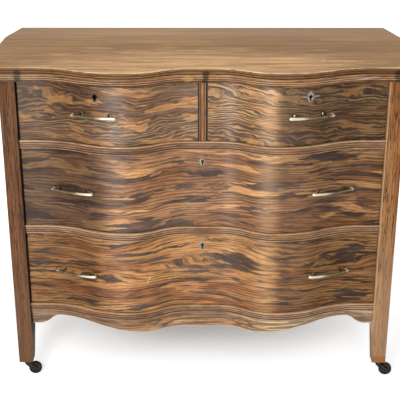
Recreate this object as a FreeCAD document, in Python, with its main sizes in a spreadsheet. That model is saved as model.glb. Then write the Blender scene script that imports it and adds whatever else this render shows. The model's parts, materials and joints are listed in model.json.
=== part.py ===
import FreeCAD, Part
import math
import os
from types import SimpleNamespace

import Sketcher

# Serpentine oak chest of drawers on swivel casters: two half-width drawers over two full-width ones.
# Lengths are in millimetres. X runs to the viewer's right, -Y to the front and +Z up from the floor.

SIZES = {
    # case
    "case_width": 1016,
    "case_depth": 440,
    "caster_height": 44,
    "leg_height": 158,
    "rail_height": 22,
    "bottom_opening": 209,
    "middle_opening": 213,
    "top_opening": 159,
    # serpentine line of the drawer faces, forward of its straight ends
    "bulge_reach": 58,
    "bulge_place": 195,
    "hollow_reach": 10,
    "hollow_half_width": 40,
    "sweep_end_inset": 46,
    # how far faces stand from that line or from the posts
    "face_recess": 15,
    "rail_lead": 9,
    "divider_lead": 5,
    "apron_lead": 3,
    # top board and the moulding under it
    "top_thickness": 17,
    "top_front_overhang": 15,
    "top_side_overhang": 40,
    "top_rear_overhang": 15,
    "top_corner_ease": 24,
    "top_corner_run": 125,
    "top_lip": 9,
    "top_cove_depth": 6,
    "moulding_height": 19,
    "moulding_setback": 2.5,
    # rail mouldings
    "rail_bead": 6,
    "bead_lead": 3.5,
    # posts and legs
    "post_width": 42,
    "post_depth": 66,
    "rear_post_depth": 45,
    "foot_width": 37,
    "foot_depth": 42,
    "foot_scoop": 6,
    "foot_scoop_height": 18,
    # apron
    "apron_thickness": 20,
    "apron_drop": 42,
    "apron_end_drop": 40,
    "apron_arch_rise": 28,
    "apron_arch_inset": 84,
    "apron_flat_half": 85,
    "apron_end_flat": 20,
    # framed ends and back
    "panel_thickness": 8,
    "panel_inset": 10,
    "panel_tongue": 6,
    "end_rail_inset": 3,
    "end_rail_thickness": 20,
    "end_rail_height": 60,
    "back_panel_thickness": 6,
    "back_panel_inset": 10,
    "back_rail_thickness": 18,
    "back_rail_height": 50,
    "divider_width": 18,
    "runner_lap": 24,
    "runner_thickness": 20,
    "guide_height": 12,
    "centre_runner_half": 30,
    "stop_length": 12,
    "stop_width": 14,
    "stop_height": 7,
    "stop_gap": 5,
    # drawers
    "drawer_gap": 1.5,
    "drawer_lift": 0.3,
    "drawer_rear_gap": 5,
    "front_thickness": 22,
    "side_thickness": 12,
    "side_drop": 4,
    "back_drop": 10,
    "bottom_thickness": 6,
    "bottom_rise": 11,
    "bottom_tongue": 5,
    "dovetail_spacing": 47,
    "dovetail_length": 14,
    "dovetail_flare": 3,
    "dovetail_margin": 8,
    # locks
    "lock_width": 56,
    "lock_height": 44,
    "lock_depth": 12,
    "bolt_width": 14,
    "bolt_thickness": 4,
    "bolt_length": 24,
    "bolt_sink": 0.5,
    "bolt_play": 0.4,
    "bolt_mortise": 11,
    "bolt_mortise_play": 1.2,
    "key_drop": 32,
    "key_radius": 3.4,
    "key_slot_width": 3.6,
    "key_slot_length": 11,
    "escutcheon_width": 52,
    "escutcheon_height": 30,
    "escutcheon_boss": 16,
    "escutcheon_wing": 9,
    "escutcheon_thickness": 1.6,
    # pulls
    "top_pull_inset": 201,
    "long_pull_inset": 137,
    "pull_half_span": 38,
    "pull_standoff": 24,
    "pull_bow": 3,
    "pull_tail": 14,
    "pull_scroll_radius": 6.5,
    "pull_scroll_turn": 110,
    "pull_bar_height": 7,
    "pull_bar_depth": 5,
    "pull_post_width": 6,
    "pull_post_height": 5.5,
    "pull_foot_width": 12,
    "pull_foot_height": 3,
    "pull_seat_spare": 9,
    # casters
    "stem_radius": 4,
    "stem_length": 30,
    "stem_play": 0.08,
    "stem_end_play": 4,
    "caster_play": 0.3,
    "caster_trail": 22,
    "wheel_radius": 18,
    "wheel_width": 12,
    "wheel_side_play": 0.6,
    "axle_radius": 2.5,
    "axle_play": 0.08,
    "cheek_thickness": 2.6,
    "cheek_radius": 9,
    "horn_plate": 3,
    "horn_radius": 12,
}

# swivel of each caster about its stem, in degrees from +X
CASTER_TURNS = {"front_left": 0, "front_right": -10, "rear_left": 160, "rear_right": 35}
# spare length by which cutting solids run past the faces they open
SPARE = 6.0
UP = FreeCAD.Vector(0, 0, 1)

doc = FreeCAD.newDocument("serpentine_chest")
sheet = doc.addObject("Spreadsheet::Sheet", "Sizes")
for row, (name, value) in enumerate(SIZES.items(), start=1):
    sheet.set(f"A{row}", name)
    sheet.set(f"B{row}", str(value))
    sheet.setAlias(f"B{row}", name)
doc.recompute()

nodes = {}


class Size:
    """A length together with the sheet formula that gives it."""

    def __init__(self, value, formula=None):
        self.value = float(value)
        self.formula = formula or f"({self.value!r})"

    def __add__(self, other):
        other = as_size(other)
        return Size(self.value + other.value, f"({self.formula} + {other.formula})")

    def __sub__(self, other):
        other = as_size(other)
        return Size(self.value - other.value, f"({self.formula} - {other.formula})")

    def __mul__(self, other):
        other = as_size(other)
        return Size(self.value * other.value, f"({self.formula} * {other.formula})")

    def __truediv__(self, other):
        other = as_size(other)
        return Size(self.value / other.value, f"({self.formula} / {other.formula})")

    def __neg__(self):
        return Size(-self.value, f"(-{self.formula})")


def as_size(item):
    """Read a bare number as a size."""
    return item if isinstance(item, Size) else Size(item)


def root(size):
    """Square root of a size."""
    return Size(math.sqrt(size.value), f"sqrt({size.formula})")


def arc_sine(ratio):
    """Angle in degrees whose sine is the ratio."""
    return Size(math.degrees(math.asin(ratio.value)), f"(asin({ratio.formula}) / 1 deg)")


def sine(degrees):
    """Sine of an angle in degrees."""
    return Size(math.sin(math.radians(degrees.value)), f"sin({degrees.formula} * 1 deg)")


def cosine(degrees):
    """Cosine of an angle in degrees."""
    return Size(math.cos(math.radians(degrees.value)), f"cos({degrees.formula} * 1 deg)")


S = SimpleNamespace(**{name: Size(value, f"Sizes.{name}") for name, value in SIZES.items()})
NIL = Size(0)


def bind(item, prop, size):
    """Tie one property to the sheet."""
    item.setExpression(prop, size.formula)


def place(item, x=None, y=None, z=None, turn=None):
    """Set an object down, turned about the upright."""
    for axis, size in zip("xyz", (x, y, z)):
        if size is not None:
            bind(item, f"Placement.Base.{axis}", size)
    if turn is not None:
        bind(item, "Placement.Rotation.Angle", turn)
    return item


def keep(node, item):
    """Name a finished sub-part."""
    item.Label = node
    nodes[node] = item
    return item


def board(name, x, y, z):
    """Plain board between low and high limits along each axis."""
    box = doc.addObject("Part::Box", name)
    for side, axis, (low, high) in zip(("Length", "Width", "Height"), "xyz", (x, y, z)):
        bind(box, side, high - low)
        bind(box, f"Placement.Base.{axis}", low)
    return box


def group(name, items):
    """Several solids as one object."""
    compound = doc.addObject("Part::Compound", name)
    compound.Links = items
    return compound


def cut(name, base, tools):
    """Let other pieces into a piece."""
    result = doc.addObject("Part::Cut", name)
    result.Base = base
    result.Tool = tools[0] if len(tools) == 1 else group(f"{name}_tools", tools)
    return result


def new_body(name):
    """Body for sketched features."""
    return doc.addObject("PartDesign::Body", name)


def sketch_on(body, name, plane="XY_Plane", level=None):
    """Sketch on one of the body's own origin planes, raised by level along its normal."""
    sketch = body.newObject("Sketcher::SketchObject", name)
    support = next(item for item in body.Origin.OriginFeatures if item.Role == plane)
    sketch.AttachmentSupport = [(support, "")]
    sketch.MapMode = "FlatFace"
    if level is not None:
        bind(sketch, "AttachmentOffset.Base.z", level)
    return sketch


class Corner:
    """Corner of an outline, with the arc that leaves it where the next stretch is round."""

    def __init__(self, x, y, arc=None):
        self.x = as_size(x)
        self.y = as_size(y)
        self.arc = arc


class Arc:
    """Round stretch: its centre, its radius, and +1 for a left turn or -1 for a right turn."""

    def __init__(self, x, y, radius, turn):
        self.x = as_size(x)
        self.y = as_size(y)
        self.radius = as_size(radius)
        self.turn = turn


def reversed_path(path):
    """The same corners walked the other way."""
    arcs = [corner.arc for corner in path[:-1]]
    back = [Arc(arc.x, arc.y, arc.radius, -arc.turn) if arc else None for arc in reversed(arcs)]
    return [Corner(corner.x, corner.y, arc) for corner, arc in zip(reversed(path), back + [None])]


def mirrored_path(path):
    """The corners reflected in the middle plane."""
    flipped = []
    for corner in path:
        arc = corner.arc
        flipped.append(Corner(-corner.x, corner.y, arc and Arc(-arc.x, arc.y, arc.radius, -arc.turn)))
    return flipped


def polygon(*corners):
    """Outline of straight stretches."""
    return [Corner(x, y) for x, y in corners]


def rectangle(x, y):
    """Four corners between low and high limits."""
    return polygon((x[0], y[0]), (x[1], y[0]), (x[1], y[1]), (x[0], y[1]))


def edge_between(corner, following):
    """Curve from one corner to the next, and which of its ends comes first: 1 the start, 2 the finish."""
    if corner.arc is None:
        begin = FreeCAD.Vector(corner.x.value, corner.y.value)
        finish = FreeCAD.Vector(following.x.value, following.y.value)
        return Part.LineSegment(begin, finish), (1, 2)
    arc = corner.arc
    middle = FreeCAD.Vector(arc.x.value, arc.y.value)
    angles = [math.atan2(c.y.value - middle.y, c.x.value - middle.x) for c in (corner, following)]
    ends = (1, 2)
    if arc.turn < 0:
        angles.reverse()
        ends = (2, 1)
    if angles[1] <= angles[0]:
        angles[1] += 2 * math.pi
    return Part.ArcOfCircle(Part.Circle(middle, UP, arc.radius.value), *angles), ends


def draw(sketch, path):
    """Draw a closed outline whose corners and radii are held by the sheet."""
    first = sketch.GeometryCount
    base = sketch.ConstraintCount
    edges = [edge_between(corner, path[(i + 1) % len(path)]) for i, corner in enumerate(path)]
    sketch.addGeometry([curve for curve, ends in edges])
    held = []
    for i, (curve, (begin, finish)) in enumerate(edges):
        held.append((Sketcher.Constraint("DistanceX", first + i, begin, path[i].x.value), path[i].x))
        held.append((Sketcher.Constraint("DistanceY", first + i, begin, path[i].y.value), path[i].y))
        if path[i].arc is not None:
            radius = path[i].arc.radius
            held.append((Sketcher.Constraint("Radius", first + i, radius.value), radius))
        after = (i + 1) % len(path)
        joined = Sketcher.Constraint("Coincident", first + i, finish, first + after, edges[after][1][0])
        held.append((joined, None))
    sketch.addConstraint([constraint for constraint, size in held])
    for i, (constraint, size) in enumerate(held):
        if size is not None and "Sizes." in size.formula:
            bind(sketch, f"Constraints[{base + i}]", size)
    return sketch


def draw_circle(sketch, x, y, radius):
    """Draw a circle held by the sheet: 3 is its centre."""
    sketch.addGeometry(Part.Circle(FreeCAD.Vector(x.value, y.value), UP, radius.value))
    sketch.addConstraint(
        [
            Sketcher.Constraint("DistanceX", 0, 3, x.value),
            Sketcher.Constraint("DistanceY", 0, 3, y.value),
            Sketcher.Constraint("Radius", 0, radius.value),
        ]
    )
    for i, size in enumerate((x, y, radius)):
        if "Sizes." in size.formula:
            bind(sketch, f"Constraints[{i}]", size)
    return sketch


def pad(body, sketch, length, symmetric=False, backward=False):
    """Raise a sketch into a solid."""
    feature = body.newObject("PartDesign::Pad", f"{sketch.Name}_pad")
    feature.Profile = sketch
    feature.SideType = "Symmetric" if symmetric else "One side"
    feature.Reversed = backward
    bind(feature, "Length", length)
    return feature


def pocket(body, sketch, length=None):
    """Sink a sketch into a solid by a length, or right through it both ways."""
    feature = body.newObject("PartDesign::Pocket", f"{sketch.Name}_pocket")
    feature.Profile = sketch
    if length is None:
        feature.SideType = "Symmetric"
        feature.Type = "ThroughAll"
    else:
        bind(feature, "Length", length)
    return feature


def block(name, x, y, z):
    """Block sketched about its own origin, to be set down turned."""
    body = new_body(name)
    pad(body, draw(sketch_on(body, f"{name}_sketch", level=z[0]), rectangle(x, y)), z[1] - z[0])
    return body


# levels above the floor
FOOT = S.caster_height
FRAME_BOTTOM = FOOT + S.leg_height
BOTTOM_FLOOR = FRAME_BOTTOM + S.rail_height
BOTTOM_CEILING = BOTTOM_FLOOR + S.bottom_opening
MIDDLE_FLOOR = BOTTOM_CEILING + S.rail_height
MIDDLE_CEILING = MIDDLE_FLOOR + S.middle_opening
TOP_FLOOR = MIDDLE_CEILING + S.rail_height
TOP_CEILING = TOP_FLOOR + S.top_opening
CASE_TOP = TOP_CEILING + S.moulding_height

# places across the width and from front to back
CASE_HALF = S.case_width / 2
POST_INNER = CASE_HALF - S.post_width
FRONT_REACH = S.top_front_overhang + S.bulge_reach
POST_FACE = FRONT_REACH - (FRONT_REACH + S.case_depth + S.top_rear_overhang) / 2
CASE_BACK = POST_FACE + S.case_depth
FRAME_BACK = POST_FACE + S.post_depth
REAR_POST_FACE = CASE_BACK - S.rear_post_depth
FACE_LINE = POST_FACE + S.face_recess
TOP_LEAD = S.face_recess + S.top_front_overhang
MOULDING_LEAD = TOP_LEAD - S.moulding_setback
BACK_PANEL_FACE = CASE_BACK - S.back_panel_inset - S.back_panel_thickness
BACK_RAIL_FACE = BACK_PANEL_FACE - S.back_rail_thickness
END_RAIL_INNER = CASE_HALF - S.end_rail_inset - S.end_rail_thickness

# the two S-curves of the serpentine, each of two equal arcs
SWEEP_END = POST_INNER - S.sweep_end_inset
INNER_RUN = S.bulge_place - S.hollow_half_width
INNER_RISE = S.bulge_reach - S.hollow_reach
OUTER_RUN = SWEEP_END - S.bulge_place
INNER_RADIUS = (INNER_RUN * INNER_RUN + INNER_RISE * INNER_RISE) / (INNER_RISE * 4)
OUTER_RADIUS = (OUTER_RUN * OUTER_RUN + S.bulge_reach * S.bulge_reach) / (S.bulge_reach * 4)
HOLLOW_CENTRE = FACE_LINE - S.hollow_reach - INNER_RADIUS
INNER_BULGE_CENTRE = FACE_LINE - S.bulge_reach + INNER_RADIUS
OUTER_BULGE_CENTRE = FACE_LINE - S.bulge_reach + OUTER_RADIUS
SWEEP_CENTRE = FACE_LINE - OUTER_RADIUS


def half_curve(lead, stop, start=None):
    """Right half of the serpentine line set forward by lead, from the middle hollow out to x = stop."""
    hollow = FACE_LINE - S.hollow_reach - lead
    share = (INNER_RADIUS - lead) / (INNER_RADIUS * 2)
    inner_x = S.hollow_half_width + INNER_RUN * share
    inner_y = HOLLOW_CENTRE + (INNER_RADIUS * 2 - INNER_RISE) * share
    share = (OUTER_RADIUS + lead) / (OUTER_RADIUS * 2)
    outer_x = S.bulge_place + OUTER_RUN * share
    outer_y = OUTER_BULGE_CENTRE + (S.bulge_reach - OUTER_RADIUS * 2) * share
    path = [
        Corner(S.hollow_half_width, hollow, Arc(S.hollow_half_width, HOLLOW_CENTRE, INNER_RADIUS - lead, -1)),
        Corner(inner_x, inner_y, Arc(S.bulge_place, INNER_BULGE_CENTRE, INNER_RADIUS + lead, 1)),
        Corner(
            S.bulge_place,
            FACE_LINE - S.bulge_reach - lead,
            Arc(S.bulge_place, OUTER_BULGE_CENTRE, OUTER_RADIUS + lead, 1),
        ),
        Corner(outer_x, outer_y, Arc(SWEEP_END, SWEEP_CENTRE, OUTER_RADIUS - lead, -1)),
        Corner(SWEEP_END, FACE_LINE - lead),
        Corner(stop, FACE_LINE - lead),
    ]
    return path if start is None else [Corner(start, hollow)] + path


def full_curve(lead, stop):
    """Whole serpentine line set forward by lead, from x = -stop to x = stop."""
    right = half_curve(lead, stop)
    return reversed_path(mirrored_path(right)) + right


def span_curve(lead, x):
    """Serpentine line over a drawer's own width."""
    low, high = x
    if low.value * high.value < 0:
        return full_curve(lead, high)
    if low.value > 0:
        return half_curve(lead, high, low)
    return reversed_path(mirrored_path(half_curve(lead, -low, -high)))


def strip(front, back):
    """Closed outline between two lines that both run from left to right."""
    return front + reversed_path(back)


def face_frame(x):
    """Point of the drawer face at x, and how far its outward normal turns from the front."""
    reach = -x if x.value < 0 else x
    side = -1 if x.value < 0 else 1
    if reach.value <= S.hollow_half_width.value:
        return x, FACE_LINE - S.hollow_reach, NIL
    middle = (S.bulge_place.value + SWEEP_END.value) / 2
    if reach.value <= middle:
        across = reach - S.bulge_place
        y = OUTER_BULGE_CENTRE - root(OUTER_RADIUS * OUTER_RADIUS - across * across)
    else:
        across = SWEEP_END - reach
        y = SWEEP_CENTRE + root(OUTER_RADIUS * OUTER_RADIUS - across * across)
    return x, y, arc_sine(across / OUTER_RADIUS) * side


# drawers: span across, floor and ceiling of the opening, pulls and keyhole
DRAWER_OUT = POST_INNER - S.drawer_gap
DRAWER_IN = S.divider_width / 2 + S.drawer_gap
DRAWER_REAR = REAR_POST_FACE - S.drawer_rear_gap
TOP_PULL = POST_INNER - S.top_pull_inset
LONG_PULL = POST_INNER - S.long_pull_inset


def drawer_plan(x, floor, ceiling, pulls, key):
    """One drawer's place in the case."""
    return SimpleNamespace(x=x, floor=floor, ceiling=ceiling, pulls=pulls, key=key)


DRAWERS = {
    "top_left": drawer_plan(
        (-DRAWER_OUT, -DRAWER_IN),
        TOP_FLOOR,
        TOP_CEILING,
        [-TOP_PULL],
        -TOP_PULL,
    ),
    "top_right": drawer_plan(
        (DRAWER_IN, DRAWER_OUT),
        TOP_FLOOR,
        TOP_CEILING,
        [TOP_PULL],
        TOP_PULL,
    ),
    "middle": drawer_plan(
        (-DRAWER_OUT, DRAWER_OUT),
        MIDDLE_FLOOR,
        MIDDLE_CEILING,
        [-LONG_PULL, LONG_PULL],
        NIL,
    ),
    "bottom": drawer_plan(
        (-DRAWER_OUT, DRAWER_OUT),
        BOTTOM_FLOOR,
        BOTTOM_CEILING,
        [-LONG_PULL, LONG_PULL],
        NIL,
    ),
}
BOLT_DEPTH = S.front_thickness - S.lock_depth / 2


def bolt_mortise(name, plan):
    """Hollow in the rail above a drawer that takes its lock bolt."""
    x, y, turn = face_frame(plan.key)
    wide = S.bolt_width / 2 + S.bolt_mortise_play
    half_deep = S.bolt_thickness / 2 + S.bolt_mortise_play
    deep = (BOLT_DEPTH - half_deep, BOLT_DEPTH + half_deep)
    hollow = block(f"{name}_mortise", (-wide, wide), deep, (NIL, S.bolt_mortise))
    return place(hollow, x, y, plan.ceiling, turn)


def moulded_rail(name, floor):
    """Rail between the posts: a proud bead over a plain band, on the serpentine line."""
    body = new_body(name)
    back = polygon((-POST_INNER, FRAME_BACK), (POST_INNER, FRAME_BACK))
    band = strip(full_curve(S.rail_lead - S.bead_lead, POST_INNER), back)
    below = S.rail_height - S.rail_bead
    pad(body, draw(sketch_on(body, f"{name}_band"), band), below)
    bead = strip(full_curve(S.rail_lead, POST_INNER), back)
    pad(body, draw(sketch_on(body, f"{name}_bead", level=below), bead), S.rail_bead)
    return place(body, z=floor)


def build_rails():
    """Front rails, with hollows for the bolts of the locks below them."""
    upper = moulded_rail("upper_rail_blank", MIDDLE_CEILING)
    lower = moulded_rail("lower_rail_blank", BOTTOM_CEILING)
    keep("upper_rail", cut("upper_rail_cut", upper, [bolt_mortise("middle", DRAWERS["middle"])]))
    keep("lower_rail", cut("lower_rail_cut", lower, [bolt_mortise("bottom", DRAWERS["bottom"])]))
    keep("bottom_rail", moulded_rail("bottom_rail_blank", FRAME_BOTTOM))
    across = (-POST_INNER, POST_INNER)
    top_rail = board("top_rail_board", across, (POST_FACE, FRAME_BACK), (TOP_CEILING, CASE_TOP))
    keep("top_front_rail", top_rail)


def build_apron():
    """Serpentine apron with its lower edge scalloped in long S-curves."""
    body = new_body("apron_blank")
    back = full_curve(S.apron_lead - S.apron_thickness, POST_INNER)
    band = strip(full_curve(S.apron_lead, POST_INNER), back)
    pad(body, draw(sketch_on(body, "apron_plan"), band), S.apron_drop)
    tail = POST_INNER - S.apron_end_flat
    arch = POST_INNER - S.apron_arch_inset
    end_lift = S.apron_drop - S.apron_end_drop
    fall = S.apron_arch_rise - end_lift
    long_run = arch - S.apron_flat_half
    short_run = tail - arch
    long_radius = (long_run * long_run + S.apron_arch_rise * S.apron_arch_rise) / (S.apron_arch_rise * 4)
    short_radius = (short_run * short_run + fall * fall) / (fall * 4)
    half = [
        Corner(S.apron_flat_half, NIL, Arc(S.apron_flat_half, long_radius, long_radius, 1)),
        Corner(
            S.apron_flat_half + long_run / 2,
            S.apron_arch_rise / 2,
            Arc(arch, S.apron_arch_rise - long_radius, long_radius, -1),
        ),
        Corner(
            arch,
            S.apron_arch_rise,
            Arc(arch, S.apron_arch_rise - short_radius, short_radius, -1),
        ),
        Corner(
            arch + short_run / 2,
            S.apron_arch_rise - fall / 2,
            Arc(tail, end_lift + short_radius, short_radius, 1),
        ),
        Corner(tail, end_lift),
        Corner(POST_INNER + SPARE, end_lift),
    ]
    edge = reversed_path(mirrored_path(half)) + half
    below = polygon((-POST_INNER - SPARE, -SPARE), (POST_INNER + SPARE, -SPARE))
    pocket(body, draw(sketch_on(body, "apron_scallop", "XZ_Plane"), strip(edge, below)))
    place(body, z=FRAME_BOTTOM - S.apron_drop)
    keep("apron", body)


def top_outline(lead, side, rear):
    """Outline of the top: serpentine front, straight sides, and rear corners drawn in."""
    ease_start = CASE_BACK + S.top_rear_overhang - S.top_corner_run
    corner = side - S.top_corner_ease
    front = full_curve(lead, side)
    return front + polygon((side, ease_start), (corner, rear), (-corner, rear), (-side, ease_start))


def build_top():
    """Top board with a lip over a cove, and the moulding mitred under it."""
    side = CASE_HALF + S.top_side_overhang
    rear = CASE_BACK + S.top_rear_overhang
    body = new_body("top_board_blank")
    below = S.top_thickness - S.top_lip
    cove = top_outline(TOP_LEAD - S.top_cove_depth, side - S.top_cove_depth, rear)
    pad(body, draw(sketch_on(body, "top_cove"), cove), below)
    lip = top_outline(TOP_LEAD, side, rear)
    pad(body, draw(sketch_on(body, "top_plan", level=below), lip), S.top_lip)
    keep("top_board", place(body, z=CASE_TOP))

    outer = side - S.moulding_setback
    inner = outer - MOULDING_LEAD + S.face_recess
    front_y = FACE_LINE - MOULDING_LEAD
    front = new_body("front_moulding")
    outline = strip(full_curve(MOULDING_LEAD, outer), polygon((-inner, POST_FACE), (inner, POST_FACE)))
    pad(front, draw(sketch_on(front, "front_moulding_plan"), outline), S.moulding_height)
    place(front, z=TOP_CEILING)
    hollows = [bolt_mortise(name, DRAWERS[name]) for name in ("top_left", "top_right")]
    strips = [cut("front_moulding_cut", front, hollows)]
    ease_start = rear - S.top_corner_run
    drawn_in = outer - S.top_corner_ease * (S.top_corner_run - S.top_rear_overhang) / S.top_corner_run
    for hand in (-1, 1):
        end = new_body("end_moulding")
        outline = polygon(
            (outer * hand, front_y),
            (inner * hand, POST_FACE),
            (CASE_HALF * hand, POST_FACE),
            (CASE_HALF * hand, CASE_BACK),
            (drawn_in * hand, CASE_BACK),
            (outer * hand, ease_start),
        )
        pad(end, draw(sketch_on(end, "end_moulding_plan"), outline), S.moulding_height)
        strips.append(place(end, z=TOP_CEILING))
    keep("top_moulding", group("top_moulding_strips", strips))


def post_blank(name, hand, front, depth, scooped):
    """Square post whose leg tapers on its inner face and, in front, is scooped behind the foot."""
    body = new_body(name)
    apron_end = FRAME_BOTTOM - S.apron_end_drop
    foot_inner = CASE_HALF - S.foot_width
    outline = polygon(
        (CASE_HALF * hand, FOOT),
        (CASE_HALF * hand, CASE_TOP),
        (POST_INNER * hand, CASE_TOP),
        (POST_INNER * hand, apron_end),
        (foot_inner * hand, FOOT),
    )
    pad(body, draw(sketch_on(body, f"{name}_front", "XZ_Plane"), outline), depth, backward=True)
    if scooped:
        heel = FOOT + S.foot_scoop_height
        hollow = polygon(
            (depth, FRAME_BOTTOM),
            (S.foot_depth, heel),
            (S.foot_depth - S.foot_scoop, FOOT),
            (S.foot_depth - S.foot_scoop, FOOT - SPARE),
            (depth + SPARE, FOOT - SPARE),
            (depth + SPARE, FRAME_BOTTOM),
        )
        pocket(body, draw(sketch_on(body, f"{name}_taper", "YZ_Plane"), hollow))
    return place(body, y=front)


FOOT_X = CASE_HALF - S.foot_width / 2
FRONT_STEM_Y = POST_FACE + (S.foot_depth - S.foot_scoop) / 2
REAR_STEM_Y = CASE_BACK - S.rear_post_depth / 2
CORNERS = {
    "front_left": (-1, FRONT_STEM_Y),
    "front_right": (1, FRONT_STEM_Y),
    "rear_left": (-1, REAR_STEM_Y),
    "rear_right": (1, REAR_STEM_Y),
}


def stem_bore(corner):
    """Bore up a leg for its caster's stem."""
    hand, y = CORNERS[corner]
    bore = doc.addObject("Part::Cylinder", f"{corner}_stem_bore")
    bind(bore, "Radius", S.stem_radius + S.stem_play)
    bind(bore, "Height", S.stem_length + S.stem_end_play)
    return place(bore, FOOT_X * hand, y, FOOT)


def build_ends():
    """Posts bored for the casters, framed and panelled ends, and the back with its rails."""
    bores = {corner: stem_bore(corner) for corner in CORNERS}
    back_x = (-POST_INNER - S.panel_tongue, POST_INNER + S.panel_tongue)
    back_y = (BACK_PANEL_FACE, BACK_PANEL_FACE + S.back_panel_thickness)
    back_panel = keep("back_panel", board("back_board", back_x, back_y, (FRAME_BOTTOM, CASE_TOP)))
    for side, hand in (("left", -1), ("right", 1)):
        outer = CASE_HALF - S.panel_inset
        panel = board(
            f"{side}_end_panel",
            ordered(hand, outer - S.panel_thickness, outer),
            (FRAME_BACK - S.panel_tongue, REAR_POST_FACE + S.panel_tongue),
            (
                FRAME_BOTTOM + S.end_rail_height - S.panel_tongue,
                CASE_TOP - S.end_rail_height + S.panel_tongue,
            ),
        )
        keep(f"side_panel_{side}", panel)
        rail_x = ordered(hand, END_RAIL_INNER, CASE_HALF - S.end_rail_inset)
        rail_y = (FRAME_BACK, REAR_POST_FACE)
        lower_z = (FRAME_BOTTOM, FRAME_BOTTOM + S.end_rail_height)
        lower = board(f"{side}_lower_end_rail", rail_x, rail_y, lower_z)
        upper = board(f"{side}_upper_end_rail", rail_x, rail_y, (CASE_TOP - S.end_rail_height, CASE_TOP))
        pair = group(f"{side}_end_rail_pair", [lower, upper])
        keep(f"side_rails_{side}", cut(f"{side}_end_rails", pair, [panel]))
        front = post_blank(f"front_{side}_post", hand, POST_FACE, S.post_depth, True)
        keep(f"front_post_{side}", cut(f"front_{side}_post_cut", front, [panel, bores[f"front_{side}"]]))
        rear = post_blank(f"rear_{side}_post", hand, REAR_POST_FACE, S.rear_post_depth, False)
        let_in = [panel, back_panel, bores[f"rear_{side}"]]
        keep(f"rear_post_{side}", cut(f"rear_{side}_post_cut", rear, let_in))
    rails = []
    across = (-POST_INNER, POST_INNER)
    depth = (BACK_RAIL_FACE, BACK_PANEL_FACE)
    rail_tops = {"lower": FRAME_BOTTOM + S.back_rail_height, "middle": TOP_FLOOR, "upper": CASE_TOP}
    for name, top in rail_tops.items():
        rails.append(board(f"{name}_back_rail", across, depth, (top - S.back_rail_height, top)))
    keep("back_rails", group("back_rail_set", rails))


def ordered(hand, inner, outer):
    """Low and high limits of a span on the left or the right side."""
    return (inner, outer) if hand > 0 else (-outer, -inner)


def build_inside():
    """Divider, runners with guides, kickers over the top drawers, and drawer stops."""
    half = S.divider_width / 2
    depth = (FACE_LINE - S.hollow_reach - S.divider_lead, FRAME_BACK)
    keep("drawer_divider", board("divider_board", (-half, half), depth, (TOP_FLOOR, TOP_CEILING)))
    runners = []
    for floor in (BOTTOM_FLOOR, MIDDLE_FLOOR, TOP_FLOOR):
        for hand in (-1, 1):
            runners.append(side_runner(hand, floor))
    keep("side_runners", group("side_runner_set", runners))
    keep("centre_runner", centre_runner(half))
    run = (FRAME_BACK, REAR_POST_FACE)
    lift = (TOP_CEILING, CASE_TOP)
    wide = S.centre_runner_half
    kickers = [board("centre_kicker", (-wide, wide), (FRAME_BACK, BACK_RAIL_FACE), lift)]
    for hand in (-1, 1):
        lap = ordered(hand, POST_INNER - S.runner_lap, END_RAIL_INNER)
        kickers.append(board("side_kicker", lap, run, lift))
    keep("top_kickers", group("kicker_set", kickers))
    keep("drawer_stops", group("stop_set", drawer_stops()))


def side_runner(hand, floor):
    """L-shaped runner that carries a drawer side and guides its outer face."""
    body = new_body("side_runner")
    low = -S.runner_thickness
    outline = polygon(
        ((POST_INNER - S.runner_lap) * hand, low),
        (END_RAIL_INNER * hand, low),
        (END_RAIL_INNER * hand, S.guide_height),
        (POST_INNER * hand, S.guide_height),
        (POST_INNER * hand, NIL),
        ((POST_INNER - S.runner_lap) * hand, NIL),
    )
    section = draw(sketch_on(body, "side_runner_section", "XZ_Plane"), outline)
    pad(body, section, REAR_POST_FACE - FRAME_BACK, backward=True)
    return place(body, y=FRAME_BACK, z=floor)


def centre_runner(half):
    """Runner behind the divider, shared by the two top drawers, with a guide along its middle."""
    body = new_body("centre_runner_blank")
    wide = S.centre_runner_half
    outline = polygon(
        (-wide, -S.runner_thickness),
        (wide, -S.runner_thickness),
        (wide, NIL),
        (half, NIL),
        (half, S.guide_height),
        (-half, S.guide_height),
        (-half, NIL),
        (-wide, NIL),
    )
    section = draw(sketch_on(body, "centre_runner_section", "XZ_Plane"), outline)
    pad(body, section, BACK_RAIL_FACE - FRAME_BACK, backward=True)
    return place(body, y=FRAME_BACK, z=TOP_FLOOR)


def drawer_stops():
    """Small blocks on the rails that meet the inner face of each drawer front."""
    stops = []
    end_face = FACE_LINE + S.front_thickness
    outer = POST_INNER - S.drawer_gap - S.side_thickness - S.stop_gap
    for floor in (BOTTOM_FLOOR, MIDDLE_FLOOR, TOP_FLOOR):
        for hand in (-1, 1):
            x = ordered(hand, outer - S.stop_width, outer)
            y = (end_face, end_face + S.stop_length)
            stops.append(board("end_stop", x, y, (floor, floor + S.stop_height)))
    hollow_face = end_face - S.hollow_reach
    inner = DRAWER_IN + S.side_thickness + S.stop_gap / 2
    for hand in (-1, 1):
        x = ordered(hand, inner, inner + S.stop_width)
        y = (hollow_face, hollow_face + S.stop_length)
        stops.append(board("inner_stop", x, y, (TOP_FLOOR, TOP_FLOOR + S.stop_height)))
    return stops


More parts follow.
